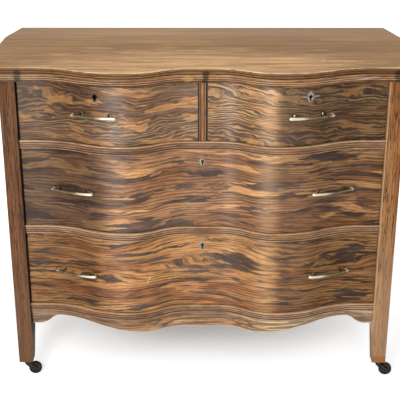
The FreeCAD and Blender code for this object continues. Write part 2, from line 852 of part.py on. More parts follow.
def drawer_side(name, x, inner_face, z):
    """Drawer side with dovetails that enter the front without showing on its face."""
    body = new_body(name)
    low, high = z
    tailed = high - low - S.dovetail_margin * 2
    tails = max(1, round(tailed.value / S.dovetail_spacing.value))
    pitch = tailed / tails
    neck = pitch / 2 - S.dovetail_flare
    corners = [(DRAWER_REAR, low), (inner_face, low)]
    for i in range(tails):
        middle = low + S.dovetail_margin + pitch * (i + 0.5)
        wide = neck / 2 + S.dovetail_flare
        corners.append((inner_face, middle - neck / 2))
        corners.append((inner_face - S.dovetail_length, middle - wide))
        corners.append((inner_face - S.dovetail_length, middle + wide))
        corners.append((inner_face, middle + neck / 2))
    corners += [(inner_face, high), (DRAWER_REAR, high)]
    pad(body, draw(sketch_on(body, f"{name}_outline", "YZ_Plane"), polygon(*corners)), x[1] - x[0])
    return place(body, x[0])


def keyhole(name, plan, y):
    """Key-shaped cutter through a drawer front: an eight-sided eye over a slot."""
    body = new_body(name)
    sketch = sketch_on(body, f"{name}_eye", "XZ_Plane", level=-y[1])
    half = S.key_slot_width / 2
    eye = S.key_radius
    right = [(half, -S.key_slot_length), (half, -eye), (eye, -half), (eye, half), (half, eye)]
    left = [(-x, z) for x, z in reversed(right)]
    pad(body, draw(sketch, polygon(*right, *left)), y[1] - y[0])
    x, face_y, turn = face_frame(plan.key)
    return place(body, x, face_y, plan.ceiling - S.key_drop, turn)


def build_lock(name, plan, top):
    """Lock case let into the back of a drawer front, and the bolt that shoots up out of it."""
    x, y, turn = face_frame(plan.key)
    half = S.lock_width / 2
    inner = S.front_thickness - S.lock_depth
    case = block(f"{name}_lock_case", (-half, half), (inner, S.front_thickness), (-S.lock_height, NIL))
    place(case, x, y, top, turn)
    bolt_half = S.bolt_width / 2
    bolt_deep = S.bolt_thickness / 2
    bolt_y = (BOLT_DEPTH - bolt_deep, BOLT_DEPTH + bolt_deep)
    bolt_z = (-S.bolt_sink - S.bolt_length, -S.bolt_sink)
    bolt = block(f"{name}_bolt_bar", (-bolt_half, bolt_half), bolt_y, bolt_z)
    keep(f"{name}_lock_bolt", place(bolt, x, y, top, turn))
    slot_x = bolt_half + S.bolt_play
    slot_y = (bolt_y[0] - S.bolt_play, bolt_y[1] + S.bolt_play)
    slot_z = (-S.bolt_sink - S.bolt_length - S.bolt_play, Size(SPARE))
    slot = place(block(f"{name}_bolt_slot", (-slot_x, slot_x), slot_y, slot_z), x, y, top, turn)
    keep(f"{name}_lock", cut(f"{name}_lock_cut", case, [slot]))
    open_y = (inner, S.front_thickness + SPARE)
    opening = block(f"{name}_lock_hollow", (-half, half), open_y, (-S.lock_height, Size(SPARE)))
    return place(opening, x, y, top, turn)


def pull_line(offset):
    """Line along a pull set forward by offset: a bowed bar whose two ends scroll back to the front."""
    bow = (S.pull_half_span * S.pull_half_span + S.pull_bow * S.pull_bow) / (S.pull_bow * 2)
    crown = -S.pull_standoff - S.pull_bow
    turn = arc_sine((S.pull_half_span + S.pull_tail) / bow)
    tip = turn + S.pull_scroll_turn
    scroll = S.pull_scroll_radius
    scroll_x = sine(turn) * (bow - scroll)
    scroll_y = crown + bow - cosine(turn) * (bow - scroll)
    right = [
        Corner(NIL, crown - offset, Arc(NIL, crown + bow, bow + offset, 1)),
        Corner(
            sine(turn) * (bow + offset),
            crown + bow - cosine(turn) * (bow + offset),
            Arc(scroll_x, scroll_y, scroll + offset, 1),
        ),
        Corner(scroll_x + sine(tip) * (scroll + offset), scroll_y - cosine(tip) * (scroll + offset)),
    ]
    return reversed_path(mirrored_path(right))[:-1] + right


def build_pull(name, plan, x, front):
    """Cast bar pull: a bowed bar with scrolled ends on two footed posts, seated on the curved front."""
    body = new_body(name)
    half = S.pull_bar_depth / 2
    bar = draw(sketch_on(body, f"{name}_bar"), strip(pull_line(half), pull_line(-half)))
    pad(body, bar, S.pull_bar_height, symmetric=True)
    posts = sketch_on(body, f"{name}_posts")
    feet = sketch_on(body, f"{name}_feet")
    for hand in (-1, 1):
        middle = S.pull_half_span * hand
        wide = (middle - S.pull_post_width / 2, middle + S.pull_post_width / 2)
        draw(posts, rectangle(wide, (-S.pull_standoff, S.pull_seat_spare)))
        wide = (middle - S.pull_foot_width / 2, middle + S.pull_foot_width / 2)
        draw(feet, rectangle(wide, (-S.pull_foot_height, S.pull_seat_spare)))
    pad(body, posts, S.pull_post_height, symmetric=True)
    pad(body, feet, S.pull_foot_width, symmetric=True)
    px, py, turn = face_frame(x)
    place(body, px, py, (plan.floor + plan.ceiling) / 2, turn)
    return cut(f"{name}_seated", body, [front])


def build_escutcheon(plan):
    """Winged keyhole plate bent to the curve of the front."""
    body = new_body("escutcheon_outline")
    wing = S.escutcheon_width / 2
    boss = S.escutcheon_boss / 2
    high = S.escutcheon_height / 2
    thin = S.escutcheon_wing / 2
    tip = wing - thin
    right = [(NIL, -high), (boss, -thin), (tip, -thin), (wing, NIL), (tip, thin), (boss, thin)]
    left = [(-x, -z) for x, z in right]
    sketch = sketch_on(body, "escutcheon_sketch", "XZ_Plane")
    pad(body, draw(sketch, polygon(*right, *left)), S.front_thickness * 2, symmetric=True)
    x, y, turn = face_frame(plan.key)
    middle = plan.ceiling - S.key_drop
    place(body, x, y, middle, turn)
    skin = new_body("escutcheon_skin")
    band = strip(span_curve(S.escutcheon_thickness, plan.x), span_curve(NIL, plan.x))
    pad(skin, draw(sketch_on(skin, "escutcheon_band"), band), S.escutcheon_height * 2)
    place(skin, z=middle - S.escutcheon_height)
    plate = doc.addObject("Part::Common", "escutcheon_plate")
    plate.Base = body
    plate.Tool = skin
    key = keyhole("escutcheon_key", plan, (Size(-SPARE), Size(SPARE)))
    return cut("escutcheon_cut", plate, [key])


def build_drawer(name, plan):
    """One drawer: serpentine front, dovetailed sides, back, bottom let into the sides, lock and pulls."""
    low = plan.floor + S.drawer_gap
    top = plan.ceiling - S.drawer_gap
    blank = new_body(f"{name}_front_blank")
    outline = strip(span_curve(NIL, plan.x), span_curve(-S.front_thickness, plan.x))
    pad(blank, draw(sketch_on(blank, f"{name}_front_plan"), outline), top - low)
    place(blank, z=low)
    side_z = (plan.floor + S.drawer_lift, plan.ceiling - S.side_drop)
    floor_z = low + S.bottom_rise
    sides = []
    for edge, inward in ((plan.x[0], 1), (plan.x[1], -1)):
        reach = abs(edge.value)
        flat = FACE_LINE - (S.hollow_reach if reach < S.hollow_half_width.value else NIL)
        limits = (edge, edge + S.side_thickness) if inward > 0 else (edge - S.side_thickness, edge)
        piece = f"{name}_left_side" if inward > 0 else f"{name}_right_side"
        sides.append(drawer_side(piece, limits, flat + S.front_thickness, side_z))
    inside = (plan.x[0] + S.side_thickness, plan.x[1] - S.side_thickness)
    panel_x = (inside[0] - S.bottom_tongue, inside[1] + S.bottom_tongue)
    panel = new_body(f"{name}_bottom_board")
    front_line = span_curve(-S.front_thickness, panel_x)
    outline = front_line + polygon((panel_x[1], DRAWER_REAR), (panel_x[0], DRAWER_REAR))
    pad(panel, draw(sketch_on(panel, f"{name}_bottom_plan"), outline), S.bottom_thickness)
    keep(f"{name}_drawer_bottom", place(panel, z=floor_z))
    pair = cut(f"{name}_sides_cut", group(f"{name}_side_pair", sides), [panel])
    keep(f"{name}_drawer_sides", pair)
    back_z = (floor_z + S.bottom_thickness, plan.ceiling - S.back_drop)
    back_y = (DRAWER_REAR - S.side_thickness, DRAWER_REAR)
    keep(f"{name}_drawer_back", board(f"{name}_back_board", inside, back_y, back_z))
    hollow = build_lock(name, plan, top)
    key = keyhole(f"{name}_front_key", plan, (Size(-SPARE), S.front_thickness - S.lock_depth))
    front = cut(f"{name}_front_cut", blank, [pair, hollow, key])
    keep(f"{name}_drawer_front", front)
    pulls = [build_pull(f"{name}_pull_{i}", plan, x, blank) for i, x in enumerate(plan.pulls, start=1)]
    keep(f"{name}_drawer_pull", pulls[0] if len(pulls) == 1 else group(f"{name}_pull_pair", pulls))


def build_caster(corner):
    """Swivel caster: a horn on a stem with the axle riveted through its cheeks, and the wheel."""
    hand, y = CORNERS[corner]
    turn = Size(CASTER_TURNS[corner])
    top = FOOT - S.caster_play
    half_slot = S.wheel_width / 2 + S.wheel_side_play
    body = new_body(f"{corner}_horn")
    sketch = sketch_on(body, f"{corner}_cheek", "XZ_Plane")
    pad(body, draw(sketch, horn_outline(top)), (half_slot + S.cheek_thickness) * 2, symmetric=True)
    slot = polygon(
        (-S.horn_radius - SPARE, -SPARE),
        (S.caster_trail + S.wheel_radius + SPARE, -SPARE),
        (S.caster_trail + S.wheel_radius + SPARE, top - S.horn_plate),
        (-S.horn_radius - SPARE, top - S.horn_plate),
    )
    cutter = pocket(body, draw(sketch_on(body, f"{corner}_slot", "XZ_Plane"), slot), half_slot * 2)
    cutter.SideType = "Symmetric"
    axle = sketch_on(body, f"{corner}_axle", "XZ_Plane")
    draw_circle(axle, S.caster_trail, S.wheel_radius, S.axle_radius)
    pad(body, axle, (half_slot + S.cheek_thickness) * 2, symmetric=True)
    stem = draw_circle(sketch_on(body, f"{corner}_stem", level=top - S.horn_plate), NIL, NIL, S.stem_radius)
    pad(body, stem, S.horn_plate + S.caster_play + S.stem_length)
    keep(f"{corner}_caster_fork", place(body, FOOT_X * hand, y, turn=turn))
    wheel = new_body(f"{corner}_wheel")
    rim = draw_circle(sketch_on(wheel, f"{corner}_rim", "XZ_Plane"), NIL, NIL, S.wheel_radius)
    pad(wheel, rim, S.wheel_width, symmetric=True)
    hub = draw_circle(sketch_on(wheel, f"{corner}_hub", "XZ_Plane"), NIL, NIL, S.axle_radius + S.axle_play)
    pocket(wheel, hub)
    trail_x = FOOT_X * hand + cosine(turn) * S.caster_trail
    trail_y = y + sine(turn) * S.caster_trail
    keep(f"{corner}_caster_wheel", place(wheel, trail_x, trail_y, S.wheel_radius, turn))


def horn_outline(top):
    """Side view of the horn: flat under the leg, drawn down to a blunt boss about the axle."""
    reach = S.caster_trail
    boss = S.cheek_radius
    blunt = boss / 2
    return polygon(
        (-S.horn_radius, top - S.horn_plate),
        (reach - boss, S.wheel_radius),
        (reach - blunt, S.wheel_radius - boss),
        (reach + blunt, S.wheel_radius - boss),
        (reach + boss, S.wheel_radius),
        (S.horn_radius, top - S.horn_plate),
        (S.horn_radius, top),
        (-S.horn_radius, top),
    )


def write_parts():
    """Check every object, then write each sub-part's solids."""
    doc.recompute()
    for item in doc.Objects:
        if "Invalid" in item.State or "Error" in item.State:
            raise RuntimeError(f"{item.Name} ({item.Label}) failed: {item.State}")
    for node, item in nodes.items():
        if item.Shape.isNull() or not item.Shape.isValid() or not item.Shape.Solids:
            raise RuntimeError(f"{node} has no valid solid")
    os.makedirs("parts", exist_ok=True)
    for node, item in nodes.items():
        item.Shape.exportStep(f"parts/{node}.step")
    print(len(nodes), "sub-parts written")


build_top()
build_rails()
build_apron()
build_ends()
build_inside()
for drawer, drawer_place in DRAWERS.items():
    build_drawer(drawer, drawer_place)
keep("top_right_escutcheon", build_escutcheon(DRAWERS["top_right"]))
for caster_corner in CORNERS:
    build_caster(caster_corner)
write_parts()
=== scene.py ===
import bmesh
import bpy
import json
import math
import numpy as np
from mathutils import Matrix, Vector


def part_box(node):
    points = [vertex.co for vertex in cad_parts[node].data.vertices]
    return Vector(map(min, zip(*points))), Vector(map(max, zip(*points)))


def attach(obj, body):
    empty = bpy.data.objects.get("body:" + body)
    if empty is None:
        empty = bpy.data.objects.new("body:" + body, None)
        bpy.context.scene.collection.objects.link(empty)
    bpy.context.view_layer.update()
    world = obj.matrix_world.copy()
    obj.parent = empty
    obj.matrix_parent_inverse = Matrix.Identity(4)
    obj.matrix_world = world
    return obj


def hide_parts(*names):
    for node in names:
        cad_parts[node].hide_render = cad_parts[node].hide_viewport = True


# Serpentine oak chest of drawers: veneers, mouldings, brasses, casters and finishes on the fixed frame.
# Metres throughout, but profiles are listed in millimetres; the front faces -y.

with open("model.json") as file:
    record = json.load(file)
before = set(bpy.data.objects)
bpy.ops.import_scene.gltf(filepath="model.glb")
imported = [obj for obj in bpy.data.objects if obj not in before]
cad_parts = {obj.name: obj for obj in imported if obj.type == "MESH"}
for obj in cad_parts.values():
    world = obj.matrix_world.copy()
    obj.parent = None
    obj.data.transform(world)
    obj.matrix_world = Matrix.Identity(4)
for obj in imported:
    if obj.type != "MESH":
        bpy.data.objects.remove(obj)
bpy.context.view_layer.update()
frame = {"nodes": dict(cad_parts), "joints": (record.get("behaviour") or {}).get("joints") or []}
nodes = frame["nodes"]
drawers = ["top_left", "top_right", "middle", "bottom"]
topMiddle = 0.265  # x of the middle of each top drawer
mirror = np.array([-1.0, 1.0, 1.0])
print("frame loaded:", len(nodes), "nodes")

# the serpentine line shared by drawers, rails, apron, moulding and top
serpentine = {
    "bulgeReach": 0.058,
    "bulgePlace": 0.195,
    "hollowReach": 0.010,
    "hollowHalf": 0.040,
    "sweepEnd": 0.420,
}
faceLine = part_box("middle_drawer_front")[0].y + serpentine["bulgeReach"]


def metres(profile):
    # A profile's millimetres turned to metres.
    return np.asarray(profile, float) / 1000


def arcStep(t, run, rise):
    # Height and slope of an S-curve of two equal arcs climbing by rise over run, with radius
    # (run^2 + rise^2) / (4 rise): the first half is radius - sqrt(radius^2 - t^2), the second its mirror.
    radius = (run**2 + rise**2) / (4 * rise)
    t = np.clip(t, 0, run)
    near = np.minimum(t, run - t)
    straight = np.sqrt(radius**2 - near**2)
    drop = radius - straight
    return np.where(t < run / 2, drop, rise - drop), near / straight


def onFace(x, z, lead):
    # Point set forward of the drawer face by lead: the face is the hollow plus one S-curve out to the
    # bulge less another back to the ends, and the offset runs along its normal (slope, -1) / length.
    s = serpentine
    x, z, lead = np.broadcast_arrays(x, z, lead)
    out, outSlope = arcStep(np.abs(x) - s["hollowHalf"], s["bulgePlace"] - s["hollowHalf"],
                            s["bulgeReach"] - s["hollowReach"])
    back, backSlope = arcStep(np.abs(x) - s["bulgePlace"], s["sweepEnd"] - s["bulgePlace"], s["bulgeReach"])
    slope = (backSlope - outSlope) * np.sign(x)
    length = np.sqrt(1 + slope**2)
    y = faceLine - s["hollowReach"] - out + back
    return np.stack([x + lead * slope / length, y - lead / length, z], axis=-1)


def faceTurn(x):
    # Angle by which the face's outward normal turns about z at x, from the slope between two near points.
    gap = 1e-4
    pair = onFace(np.array([x - gap, x + gap]), 0.0, 0.0)
    return math.atan2(pair[1, 1] - pair[0, 1], pair[1, 0] - pair[0, 0])


def gridQuads(rows, columns, closeRows=False, closeColumns=False):
    # Corner numbers of the cells of a grid stored row by row; a closed direction joins its last line to its
    # first.
    r = np.arange(rows if closeRows else rows - 1)[:, None]
    c = np.arange(columns if closeColumns else columns - 1)[None, :]
    upper, right = (r + 1) % rows, (c + 1) % columns
    corners = (r * columns + c, r * columns + right, upper * columns + right, upper * columns + c)
    return np.stack(np.broadcast_arrays(*corners), axis=-1).reshape(-1, 4)


def ringAngles(count):
    # Even angles round one turn, without the end that meets the start.
    return np.linspace(0, 2 * math.pi, count, endpoint=False)


def endRings(rows, count):
    # Corner numbers of the first and the last ring of a grid whose rows are rings.
    first = np.arange(count)
    return [first, first + (rows - 1) * count]


def slant(rows, columns):
    # From -1 at the left end to 1 at the right end of every row of a grid.
    return np.tile(np.linspace(-1, 1, columns), rows)


def makeMesh(name, shells, closed=True, wear=None):
    # Shells are (points, quads, caps): rows of three numbers, rows of four corners, outlines of flat ends.
    # Wear is one number per point: above nought rubbed pale (on the pulls a painted highlight), below nought
    # dark with dirt and painted shade.
    points, quads, caps, start = [], [], [], 0
    for shellPoints, shellQuads, shellCaps in shells:
        points.append(shellPoints.reshape(-1, 3))
        quads.append(shellQuads + start)
        caps += [np.asarray(cap) + start for cap in shellCaps]
        start += len(points[-1])
    points, quads = np.concatenate(points), np.concatenate(quads)
    corners = np.concatenate([quads.ravel(), *caps])
    counts = np.concatenate([np.full(len(quads), 4), [len(cap) for cap in caps]]).astype(np.int32)
    mesh = bpy.data.meshes.new(name)
    mesh.vertices.add(len(points))
    mesh.vertices.foreach_set("co", points.astype(np.float32).ravel())
    mesh.loops.add(len(corners))
    mesh.loops.foreach_set("vertex_index", corners.astype(np.int32))
    mesh.polygons.add(len(counts))
    mesh.polygons.foreach_set("loop_start", (np.cumsum(counts) - counts).astype(np.int32))
    mesh.update(calc_edges=True)
    if closed:
        shape = bmesh.new()
        shape.from_mesh(mesh)
        bmesh.ops.recalc_face_normals(shape, faces=shape.faces)
        shape.to_mesh(mesh)
        shape.free()
    if wear is not None:
        layer = mesh.attributes.new("wear", "FLOAT", "POINT")
        layer.data.foreach_set("value", np.asarray(wear, np.float32))
    return mesh


rounding = {"segments": 2, "fromAngle": 40}


def addPiece(name, shells, body, material, wear=None, closed=True, stands=(), thickness=0.0,
             bevel=0.0, angle=32):
    # Put shells in the scene as one piece on its body; a skin gets its thickness inwards and rounded arrises
    # first, and faces that meet at less than the angle are shaded as one.
    piece = bpy.data.objects.new(name, makeMesh(name, shells, closed, wear))
    bpy.context.scene.collection.objects.link(piece)
    if thickness:
        solid = piece.modifiers.new("thickness", "SOLIDIFY")
        solid.thickness = thickness
        solid.offset = -1
    if bevel:
        arris = piece.modifiers.new("arris", "BEVEL")
        arris.width = bevel
        arris.segments = rounding["segments"]
        arris.limit_method = "ANGLE"
        arris.angle_limit = math.radians(rounding["fromAngle"])
    if piece.modifiers:
        bpy.context.view_layer.update()
        made = bpy.data.meshes.new_from_object(piece.evaluated_get(bpy.context.evaluated_depsgraph_get()))
        made.name = name
        piece.modifiers.clear()
        piece.data = made
    mesh = piece.data
    mesh.polygons.foreach_set("use_smooth", np.ones(len(mesh.polygons), bool))
    mesh.set_sharp_from_angle(angle=math.radians(angle))
    mesh.update()
    mesh.materials.clear()
    mesh.materials.append(material)
    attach(piece, body)
    if stands:
        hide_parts(*stands)


def tube(path, side, up, half, high, count):
    # Elliptical tube along a path: centre + half cos(a) side + high sin(a) up, with flat ends.
    a = ringAngles(count)
    ring = (half[:, None, None] * np.cos(a)[None, :, None] * side[:, None, :]
            + high[:, None, None] * np.sin(a)[None, :, None] * up[:, None, :])
    quads = gridQuads(len(path), count, closeColumns=True)
    return path[:, None, :] + ring, quads, endRings(len(path), count)


def lathe(profile, closeProfile=False):
    # Profile of radii, heights and a count, turned about z in count steps: (r cos a, r sin a, h), with flat
    # ends unless the profile is a loop.
    radii, heights, count = profile
    a = ringAngles(count)
    radius, height = metres(radii)[:, None], metres(heights)[:, None]
    points = np.stack([radius * np.cos(a), radius * np.sin(a), height + 0 * a], axis=-1)
    quads = gridQuads(len(points), count, closeRows=closeProfile, closeColumns=True)
    return points, quads, [] if closeProfile else endRings(len(points), count)


def laidOver(shell, x=0.0):
    # Lathed shell moved along by x, with its height turned to -y, so that it points out of a face.
    points, quads, caps = shell
    return np.stack([points[..., 0] + x, -points[..., 2], points[..., 1]], axis=-1), quads, caps


def turned(shell, angle, place):
    # Shell turned about z by angle, then moved to place.
    points, quads, caps = shell
    c, s = math.cos(angle), math.sin(angle)
    return points @ np.array([[c, -s, 0], [s, c, 0], [0, 0, 1]]).T + np.array(place), quads, caps


def sweep(lines):
    # Closed profile carried along a path: rows are the profile's points, columns run along the path, and the
    # ends are flat.
    rows, columns = lines.shape[:2]
    first = np.arange(rows) * columns
    return lines, gridQuads(rows, columns, closeRows=True), [first, first + columns - 1]


# nodes of a material tree

def tint(code):
    # Colour written as six hexadecimal digits, turned from display values to linear light.
    parts = [int(code[i:i + 2], 16) / 255 for i in (0, 2, 4)]
    return [p / 12.92 if p <= 0.04045 else ((p + 0.055) / 1.055) ** 2.4 for p in parts] + [1.0]


def addNode(tree, kind, inputs=None, **settings):
    # Node whose inputs are linked where a socket is given and set where a value is.
    node = tree.nodes.new(kind)
    for key, value in settings.items():
        setattr(node, key, value)
    for key, value in (inputs or {}).items():
        if isinstance(value, bpy.types.NodeSocket):
            tree.links.new(value, node.inputs[key])
        else:
            node.inputs[key].default_value = value
    return node


def calc(tree, operation, first, second=0.0):
    return addNode(tree, "ShaderNodeMath", {0: first, 1: second}, operation=operation).outputs[0]


def plus(tree, first, second):
    return calc(tree, "ADD", first, second)


def minus(tree, first, second):
    return calc(tree, "SUBTRACT", first, second)


def times(tree, first, second):
    return calc(tree, "MULTIPLY", first, second)


def vectorCalc(tree, operation, first, second=(0, 0, 0)):
    # Length gives a number, the other operations a vector.
    node = addNode(tree, "ShaderNodeVectorMath", {0: first, 1: second}, operation=operation)
    return node.outputs["Value" if operation == "LENGTH" else "Vector"]


def joined(tree, x=0.0, y=0.0, z=0.0):
    return addNode(tree, "ShaderNodeCombineXYZ", {"X": x, "Y": y, "Z": z}).outputs[0]


def apart(tree, vector):
    return addNode(tree, "ShaderNodeSeparateXYZ", {0: vector}).outputs


def objectCoords(tree):
    return addNode(tree, "ShaderNodeTexCoord").outputs["Object"]


def wearOf(tree):
    return addNode(tree, "ShaderNodeAttribute", attribute_name="wear").outputs["Fac"]


def noise(tree, vector, scale, detail=2.0, roughness=0.5, distortion=0.0):
    # Noise over coordinates stretched by scale along each axis.
    inputs = {"Vector": vectorCalc(tree, "MULTIPLY", vector, scale), "Scale": 1.0, "Detail": detail,
              "Roughness": roughness, "Distortion": distortion}
    return addNode(tree, "ShaderNodeTexNoise", inputs).outputs["Fac"]


def centred(tree, value, size):
    # Noise moved to swing about nought by half of size each way.
    return times(tree, minus(tree, value, 0.5), size)


def step(tree, value, low, high, outLow=0.0, outHigh=1.0):
    # Smooth step from outLow to outHigh as value goes from low to high.
    inputs = {0: value, 1: low, 2: high, 3: outLow, 4: outHigh}
    return addNode(tree, "ShaderNodeMapRange", inputs, interpolation_type="SMOOTHSTEP").outputs[0]


def mix(tree, share, first, second):
    return addNode(tree, "ShaderNodeMix", {0: share, 6: first, 7: second}, data_type="RGBA").outputs[2]


def washed(tree, colour, value, shows, share, code):
    # Tint laid over a colour, from none to its share as value goes between the two numbers of shows.
    return mix(tree, step(tree, value, *shows, 0.0, share), colour, tint(code))


def newMaterial(name):
    material = bpy.data.materials.new(name)
    material.use_nodes = True
    tree = material.node_tree
    return material, tree, tree.nodes["Principled BSDF"]


def addBump(tree, shader, height, strength, distance):
    bump = addNode(tree, "ShaderNodeBump", {"Height": height, "Strength": strength, "Distance": distance})
    tree.links.new(bump.outputs["Normal"], shader.inputs["Normal"])


# what all the oak shares: scales of noise along and across the grain, and the numbers between which it shows
oak = {
    "fibre": (9, 330, 330), "fibreShows": (0.60, 0.36), "glossShows": (0.3, 0.7),
    "tone": (2.3, 13, 13), "toneShows": (0.33, 0.67),
    "pore": (34, 380, 380), "poreShows": (0.54, 0.66), "poreDepth": 0.6, "bumpHeight": 0.0006,
    "rub": (60, 300, 300), "rubSwing": 0.6, "rubPatch": (13, 50, 50), "rubShows": (0.1, 1.0),
    "wearShows": (0.0, 0.5), "dirtShows": (0.0, -1.0),
    "markShows": (1.0, 0.5), "rag": (110, 110, 260), "ragSwing": 1.6, "patchRag": (7, 70, 70),
}
grainTurns = {"x": (0, 0, 0), "y": (0, 0, -math.pi / 2), "z": (0, math.pi / 2, 0)}


def grainSpace(tree, coords, grain, shift, squash=1.0):
    # Coordinates turned so that the grain runs along their x, and moved to another part of the tree; a squash
    # below one flattens y first, so that the figure follows a serpentine face.
    mapping = {"Vector": coords, "Location": shift, "Rotation": grainTurns[grain], "Scale": (1, squash, 1)}
    return addNode(tree, "ShaderNodeMapping", mapping).outputs[0]


def worn(tree, colour, wood, look):
    # Arrises rubbed pale, and quirks, gaps and the undersides of beads darkened by dirt and painted shade,
    # from the mesh's wear numbers broken up by noise.
    wear = wearOf(tree)
    broken = plus(tree, wear, centred(tree, noise(tree, wood, oak["rub"], 3.0, 0.6), oak["rubSwing"]))
    broken = plus(tree, broken, centred(tree, noise(tree, wood, oak["rubPatch"]), look["patchy"]))
    pale = times(tree, step(tree, wear, *oak["wearShows"]), step(tree, broken, *oak["rubShows"]))
    colour = mix(tree, pale, colour, tint(look["rubbed"]))
    return washed(tree, colour, wear, oak["dirtShows"], 1.0, look["dirtAndShade"])


def marked(tree, colour, coords, marks, second="Z", rag=oak["rag"]):
    # Stains and scratches: each colour is laid by its share inside an oval of x and the second coordinate,
    # which leans by lean dx and has a rim made ragged by noise.
    if not marks:
        return colour
    parts = apart(tree, coords)
    ragged = centred(tree, noise(tree, coords, rag, 3.0, 0.65), oak["ragSwing"])
    for (x, z), (halfX, halfZ), lean, share, code in marks:
        dx = minus(tree, parts["X"], x)
        dz = minus(tree, minus(tree, parts[second], z), times(tree, dx, lean))
        offset = joined(tree, calc(tree, "DIVIDE", dx, halfX), calc(tree, "DIVIDE", dz, halfZ))
        away = plus(tree, vectorCalc(tree, "LENGTH", offset), ragged)
        colour = washed(tree, colour, away, oak["markShows"], share, code)
    return colour


def finishOak(tree, shader, look, colour, fibre, pore, level=True):
    # Colour, gloss that varies with the fibres, and pits at the pores; level grain was rubbed along itself,
    # so its gloss is drawn out upwards.
    tree.links.new(colour, shader.inputs["Base Color"])
    tree.links.new(step(tree, fibre, *oak["glossShows"], *look["gloss"]), shader.inputs["Roughness"])
    shader.inputs["Specular IOR Level"].default_value = look["specular"]
    if level and look["brushed"]:
        shader.inputs["Anisotropic"].default_value = look["brushed"]
        tree.links.new(joined(tree, z=1.0), shader.inputs["Tangent"])
    pitted = minus(tree, fibre, times(tree, pore, oak["poreDepth"]))
    addBump(tree, shader, pitted, look["bump"], oak["bumpHeight"])


def oakFinish(name, look, grain, shift=(0, 0, 0), edges=(), marks=(), patches=()):
    # Oak cut along the grain: bands are sine waves of a slow noise stretched along the grain, frayed by the
    # fibres; tone drifts with broad patches, pores darken and pit the surface, and each entry of edges tints
    # the wood where one coordinate passes from its first to its second number. Patches are ovals of x and y
    # under the grain, marks are ovals of x and z over it.
    material, tree, shader = newMaterial(name)
    coords = objectCoords(tree)
    wood = grainSpace(tree, coords, grain, shift, look["squash"])
    along, across = look["figure"]
    figure = noise(tree, wood, (along, across, across), 2.0, 0.45, look["wander"])
    fibre = noise(tree, wood, oak["fibre"], 3.0, 0.6)
    patch = noise(tree, wood, (along * 2, across * 0.4, across * 0.4), distortion=0.4)
    phase = plus(tree, times(tree, figure, look["bands"]), centred(tree, fibre, look["fray"]))
    field = plus(tree, calc(tree, "SINE", phase), centred(tree, patch, look["drift"]))
    tone = step(tree, noise(tree, wood, oak["tone"], 3.0, 0.6), *oak["toneShows"])
    colour = mix(tree, tone, tint(look["warm"]), tint(look["light"]))
    colour = marked(tree, colour, coords, patches, "Y", oak["patchRag"])
    colour = washed(tree, colour, field, look["edge"], look["depth"], look["streak"])
    colour = washed(tree, colour, fibre, oak["fibreShows"], look["fibre"], look["poreTint"])
    pore = step(tree, noise(tree, wood, oak["pore"], 2.0, 0.6), *oak["poreShows"])
    colour = mix(tree, times(tree, pore, look["pore"]), colour, tint(look["poreTint"]))
    parts = apart(tree, coords)
    for axis, start, end, share, code in edges:
        colour = washed(tree, colour, parts[axis], (start, end), share, code)
    colour = worn(tree, colour, wood, look)
    colour = marked(tree, colour, coords, marks)
    finishOak(tree, shader, look, colour, fibre, pore, grain == "x")
    return material


# what all the veneers share: scales of noise along and up the face, and the numbers between which it shows
flame = {
    "fibre": (20, 0, 240), "fibreShows": (0.56, 0.34), "fleckShows": (0.52, 0.74), "ripple": (7, 0, 34),
    "smoke": (3.4, 0, 13), "smokeShows": (0.48, 0.64), "clearShows": (0.545, 0.575),
    "streakFray": 0.16, "streakDrift": 0.22, "lineFray": 3.0, "lineDrift": 2.4,
    "tone": (2.1, 0, 15), "haze": (4, 0, 7), "hazeShows": (0.45, 0.75),
    "pore": (26, 0, 520), "poreShows": (0.54, 0.68), "hollowReach": (0.14, 0.04), "dullReach": (0.23, 0.31),
}


